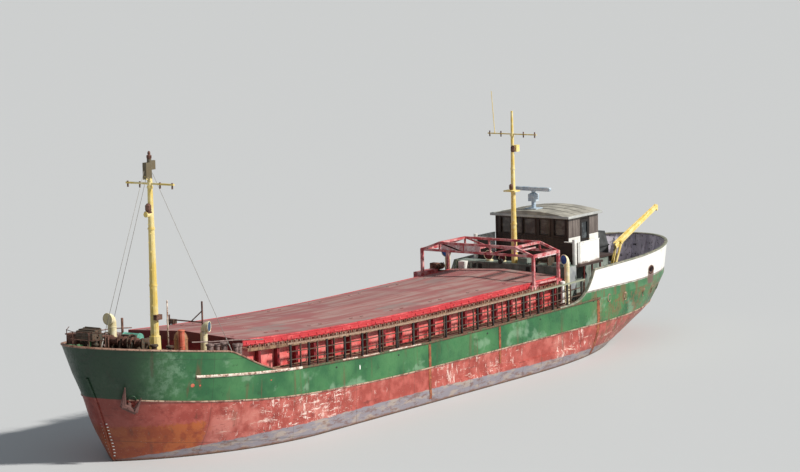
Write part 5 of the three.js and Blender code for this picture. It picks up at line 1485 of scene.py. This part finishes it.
def radar_parts():
    """Motor hood and braces under the scanner, and the scanner with its tapered ends."""
    x, y = -11.3, -0.1
    base = Shape()
    base.upright(x, y, 6.9, 7.155, [(0, 0.24), (0.3, 0.26), (0.75, 0.22), (1, 0.09)], 20)
    for side in (-1, 1):
        base.rod((x + side * 0.25, y + side * 0.2, 6.43), (x, y, 6.85), 0.025)
    base.make("radar_motor_hood", ["radar"])
    section = [(-0.1, -0.07), (0.06, -0.1), (0.1, -0.05), (0.1, 0.07), (0.05, 0.1), (-0.1, 0.08)]
    tapers = ((-0.94, 0.4), (-0.9, 0.9), (-0.8, 1), (0.8, 1), (0.9, 0.9), (0.94, 0.4))
    scanner = Shape()
    scanner.block([[(x + 0.01 + a * k, y + along, 7.33 + b * k) for a, b in section] for along, k in tapers])
    scanner.upright(x, y, 7.165, 7.26, [(0, 0.11), (0.6, 0.09), (1, 0.12)], 18)
    scanner.make("radar_aerial", ["radar"], "radar", replaces=["radar_scanner"], slot="radar_grey",
                 bevel=0.008)


# Stern gear.
def davit_fittings():
    """Twin struts of the davit's leg and twin bars of its boom, with ties and rings."""
    leg = Shape()
    for y in (1.42, 1.58):
        leg.bar((-15.5, y, 3.04), (-16.12, 1.5 + (y - 1.5) * 0.9, 4.36), 0.09, 0.05)
    leg.bar((-15.42, 1.5, 3.03), (-15.85, 1.5, 4.2), 0.06, 0.05)
    leg.upright(-15.45, 1.5, 3.003, 3.16, [(0, 0.15), (0.5, 0.15), (1, 0.08)], 18)
    leg.rod((-16.15, 1.36, 4.4), (-16.15, 1.64, 4.4), 0.07)
    leg.make("davit_struts", ["cream"], "davit_column", bevel=0.008)
    boom = Shape()
    tail, tip = Vector((-15.75, 1.5, 4.24)), Vector((-19.6, 1.5, 5.71))
    lift = Vector((0.045, 0, 0.12))
    for y in (-0.05, 0.05):
        across = Vector((0, y, 0))
        boom.bar(tail + lift * 1.2 + across, tip + lift * 0.6 + across, 0.07, 0.03)
        boom.bar(tail - lift * 0.5 + across, tip - lift * 0.2 + across, 0.12, 0.03)
    for part in (0.12, 0.45, 0.78):
        place = tail.lerp(tip, part)
        boom.box(place.x - 0.025, place.x + 0.025, 1.46, 1.54, place.z - 0.05, place.z + 0.11)
    boom.ring(tip + Vector((0.05, 0, 0)), (0, 1, 0), 0.075, 0.02)
    boom.ring(tip + Vector((0.02, 0, -0.16)), (0, 1, 0), 0.05, 0.014, 1)
    boom.make("davit_twin_bars", ["cream", "rusty"], "davit_arm")


def capstan_barrel():
    """Waisted barrel with its whelps, the upright ribs that give it grip."""
    x, foot = -18, deck_z(-18)
    profile = [(0, 0.34), (0.07, 0.34), (0.1, 0.25), (0.3, 0.21), (0.6, 0.2), (0.8, 0.23), (0.86, 0.32),
               (0.97, 0.32), (1, 0.26)]
    capstan = Shape()
    capstan.upright(x, 0, foot + 0.03, foot + 0.78, profile, 24)
    for a, b in circle(8):
        capstan.bar((x + 0.22 * a, 0.22 * b, foot + 0.15), (x + 0.21 * a, 0.21 * b, foot + 0.62), 0.05, 0.05)
    capstan.make("capstan_barrel", ["winch"], "capstan_drum", replaces=["capstan"], slot="winch_grey")


def casing_fittings():
    """Louvres, exhaust pipes, band, door and lockers of the engine casing."""
    casing = Shape()
    for side in (1, -1):
        for x in (-15.3, -15.9):
            # Painted shade: a black plate behind each louvre's slats stands for the dark inside of the casing.
            casing.side_box(x - 0.2, x + 0.2, 0.74, 0.78, 3.4, 3.9, side, 1)
            for z in (3.43 + 0.09 * k for k in range(5)):
                casing.side_box(x - 0.19, x + 0.19, 0.77, 0.8, z, z + 0.05, side)
    for x, y, top in ((-15.3, 0.3, 5.37), (-15.75, 0.3, 5.27), (-15.5, -0.3, 5.32)):
        casing.upright(x, y, top - 0.27, top, [(0, 0.1), (0.1, 0.13), (0.9, 0.13), (1, 0.1)])
        casing.ring((x, y, 4.95), (0, 0, 1), 0.11, 0.02)
    casing.box(-15.0, -14.93, -0.35, 0.35, 2.9, 4.4, 1)
    casing.box(-16.42, -14.93, -0.8, 0.8, 4.18, 4.24)
    casing.box(-15.35, -14.7, 0.85, 1.25, 2.72, 3.5, 1)
    casing.upright(-15.9, 1.05, 2.72, 3.5, [(0, 0.17), (0.9, 0.17), (1, 0.1)])
    casing.make("casing_fittings", ["funnel", "black"], bevel=0.008)


def stern_mooring_fittings():
    """Heads of the stern bollards, and rims of the mooring holes in the bulwark."""
    posts = Shape()
    for side in (1, -1):
        for x in (-17.15, -16.45):
            posts.upright(x, side * 2.15, deck_z(x) + 0.38, deck_z(x) + 0.48,
                          [(0, 0.12), (0.1, 0.155), (0.8, 0.155), (1, 0.12)], 18)
        rim = [(FAIRLEAD_X + a, FAIRLEAD_Z + b) for a, b in circle(24, 0.29, 0.17)]
        posts.path([(x, side * (stern_half(x) + 0.01), z) for x, z in rim], 0.035, 8, 0, True)
    posts.make("stern_mooring_fittings", ["rusty"])


def stern_half(x):
    """Half the width of the stern bulwark at the height of its mooring holes."""
    low, high = (level.aft_half(max(0, 1 - (x - level.stern) / level.aft_run))
                 for level in (LEVELS["deck"], LEVELS["aft_cap"]))
    return low + (high - low) * (FAIRLEAD_Z - deck_z(x)) / (aft_cap(x) - deck_z(x))


# Rails and side decks.
def rail_fittings():
    """Feet and doubled bars of the guard rail's posts, and pipes along the side decks."""
    def one(name, side):
        feet = Shape()
        for x in (12.3 - 1.2 * i for i in range(19)):
            base = deck_z(x)
            feet.side_box(x - 0.07, x + 0.07, 3.55, 3.69, base - 0.01, base + 0.03, side)
            feet.side_box(x - 0.045, x + 0.045, 3.59, 3.65, base, base + 0.97, side)
        feet.make(f"rail_post_bars_{name}", ["black"])
        pipes = Shape()
        pipes.path([(x, side * y, deck_z(x) + 0.08) for x, y in ((13.2, 3.3), (4, 3.28), (-8.4, 3.3))], 0.035)
        for x in (9.1, 2.2, -4.4):
            pipes.upright(x, side * 3.2, deck_z(x), deck_z(x) + 0.14, [(0, 0.1), (0.8, 0.1), (1, 0.06)], 14)
        pipes.make(f"deck_pipes_{name}", ["ledge"])
    both_sides(one)


def cover_bars():
    """Bar frame that stands across the first cover."""
    x = 11.7
    top = deck_z(x) + 1.36
    bars = Shape()
    bars.bar((x, -2.95, top + 0.1), (x, -1.2, top + 0.1), 0.05, 0.05)
    bars.bar((x, -1.2, top - 0.02), (x, -1.2, top + 0.95), 0.055, 0.055)
    bars.bar((x, -1.75, top + 0.12), (x, -1.22, top + 0.55), 0.04, 0.04)
    bars.bar((x, -2.9, top - 0.12), (x, -2.9, top + 0.3), 0.05, 0.05)
    bars.box(x - 0.12, x + 0.12, -2.95, -2.6, top - 0.06, top + 0.12, 1)
    bars.make("cover_bar_frame", ["rusty", "winch"], "cover_1", bevel=0.006)


hull_plating()
keel_and_stern_gear()
side_bars()
bow_run = bow_plating()
stern_run = stern_plating()
bulwark_stays("bow_stays", bow_run, "rusty")
bulwark_stays("stern_stays", stern_run, "inside")
shell_marks()
draught_marks()
hatch_coaming()
cover_fittings()
windlass_motor()
windlass_guards()
bow_tip_gear()
foredeck_poles()
side_posts()
hawse_lip()
ventilators()
mast_fittings()
stay_wires()
crane_fittings()
front_house_fittings()
house_side_fittings()
wheelhouse_front()
wheelhouse_sides()
wheelhouse_roof()
radar_parts()
davit_fittings()
capstan_barrel()
casing_fittings()
stern_mooring_fittings()
rail_fittings()
cover_bars()


# Finishes of the part's own solids.
FINISHES = {
    "lid": [f"hatch_cover_{i}" for i in range(1, COVER_COUNT + 1)],
    "crane": ["portal_crane"],
    "rail": ["guard_rail_port", "guard_rail_starboard"],
    "mast": ["fore_mast"],
    "cream": ["aft_mast", "davit_pedestal", "davit_leg", "davit_boom"],
    "winch": ["windlass_base", "bow_roller"],
    "rusty": ["windlass_drums", "aft_bollards_port", "aft_bollards_starboard"],
    "post": ["fore_bollards_port", "fore_bollards_starboard"],
    "anchor": ["anchor_port"],
    "orange": ["vent_post"],
    "house": ["deckhouse"],
    "boat_deck": ["boat_deck"],
    "wood": ["wheelhouse"],
    "dark_wood": ["wheelhouse_door_port", "wheelhouse_door_starboard"],
    "roof": ["wheelhouse_roof"],
    "front_glass": ["front_glass", "aft_glass"],
    "glass": ["door_glass_port", "door_glass_starboard"],
    "radar": ["radar_pedestal"],
    "funnel": ["engine_casing"],
    "old_bronze": ["propeller"],
    "topside": ["rudder"],
}
for finish, names in FINISHES.items():
    for node_name in names:
        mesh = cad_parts[node_name].data
        mesh.materials.clear()
        mesh.materials.append(MATERIALS[finish])


# Camera, light and floor.
LENS_MM = 141.93
SENSOR_MM = 36
CAMERA_AT = (54.6185, 38.4918, 11.5960)
CAMERA_AZIMUTH, CAMERA_ELEVATION, CAMERA_ROLL = 125.055, 7.135, -1.339
SUN_FROM = (-0.237, 0.728, 0.643)
SUN_STRENGTH, SUN_SPREAD_DEGREES = 4.4, 5
SKY_STRENGTH = 0.32
FLOOR_HALF = 900


def set_camera():
    """The camera that took the photograph, as far as the ship's straight edges tell."""
    azimuth, elevation, roll = (math.radians(v) for v in (CAMERA_AZIMUTH, CAMERA_ELEVATION, CAMERA_ROLL))
    back = Vector((math.sin(azimuth) * math.cos(elevation), -math.cos(azimuth) * math.cos(elevation),
                   math.sin(elevation)))
    level_right = Vector((math.cos(azimuth), math.sin(azimuth), 0))
    level_up = back.cross(level_right)
    right = level_right * math.cos(roll) + level_up * math.sin(roll)
    up = level_up * math.cos(roll) - level_right * math.sin(roll)
    data = bpy.data.cameras.new("camera")
    data.lens, data.sensor_width = LENS_MM, SENSOR_MM
    data.clip_start, data.clip_end = 1, 2000
    camera = bpy.data.objects.new("camera", data)
    camera.matrix_world = Matrix((right, up, back)).transposed().to_4x4()
    camera.location = CAMERA_AT
    bpy.context.scene.collection.objects.link(camera)
    bpy.context.scene.camera = camera


def set_light():
    """Soft sun from the port side, a little aft, and a pale sky."""
    data = bpy.data.lights.new("key", "SUN")
    data.energy, data.angle = SUN_STRENGTH, math.radians(SUN_SPREAD_DEGREES)
    data.color = (1.0, 0.96, 0.9)
    key = bpy.data.objects.new("key", data)
    key.rotation_mode = "QUATERNION"
    key.rotation_quaternion = Vector(SUN_FROM).to_track_quat("Z", "Y")
    bpy.context.scene.collection.objects.link(key)
    world = bpy.data.worlds.new("studio")
    bpy.context.scene.world = world
    world.use_nodes = True
    backdrop = world.node_tree.nodes["Background"]
    backdrop.inputs[0].default_value = linear("#dfe6ee")
    backdrop.inputs[1].default_value = SKY_STRENGTH


def set_floor():
    """Plain floor at the waterline."""
    mesh = bpy.data.meshes.new("floor")
    corners = ((-1, -1), (1, -1), (1, 1), (-1, 1))
    mesh.from_pydata([(x * FLOOR_HALF, y * FLOOR_HALF, 0) for x, y in corners], [], [(0, 1, 2, 3)])
    # Matt studio paper: pale and without gloss.
    mesh.materials.append(Finish("matt_studio_paper", "#c9ccce").done(0.6))
    floor = bpy.data.objects.new("floor", mesh)
    bpy.context.scene.collection.objects.link(floor)


bpy.context.scene.view_settings.view_transform = "Standard"
set_camera()
set_light()
set_floor()
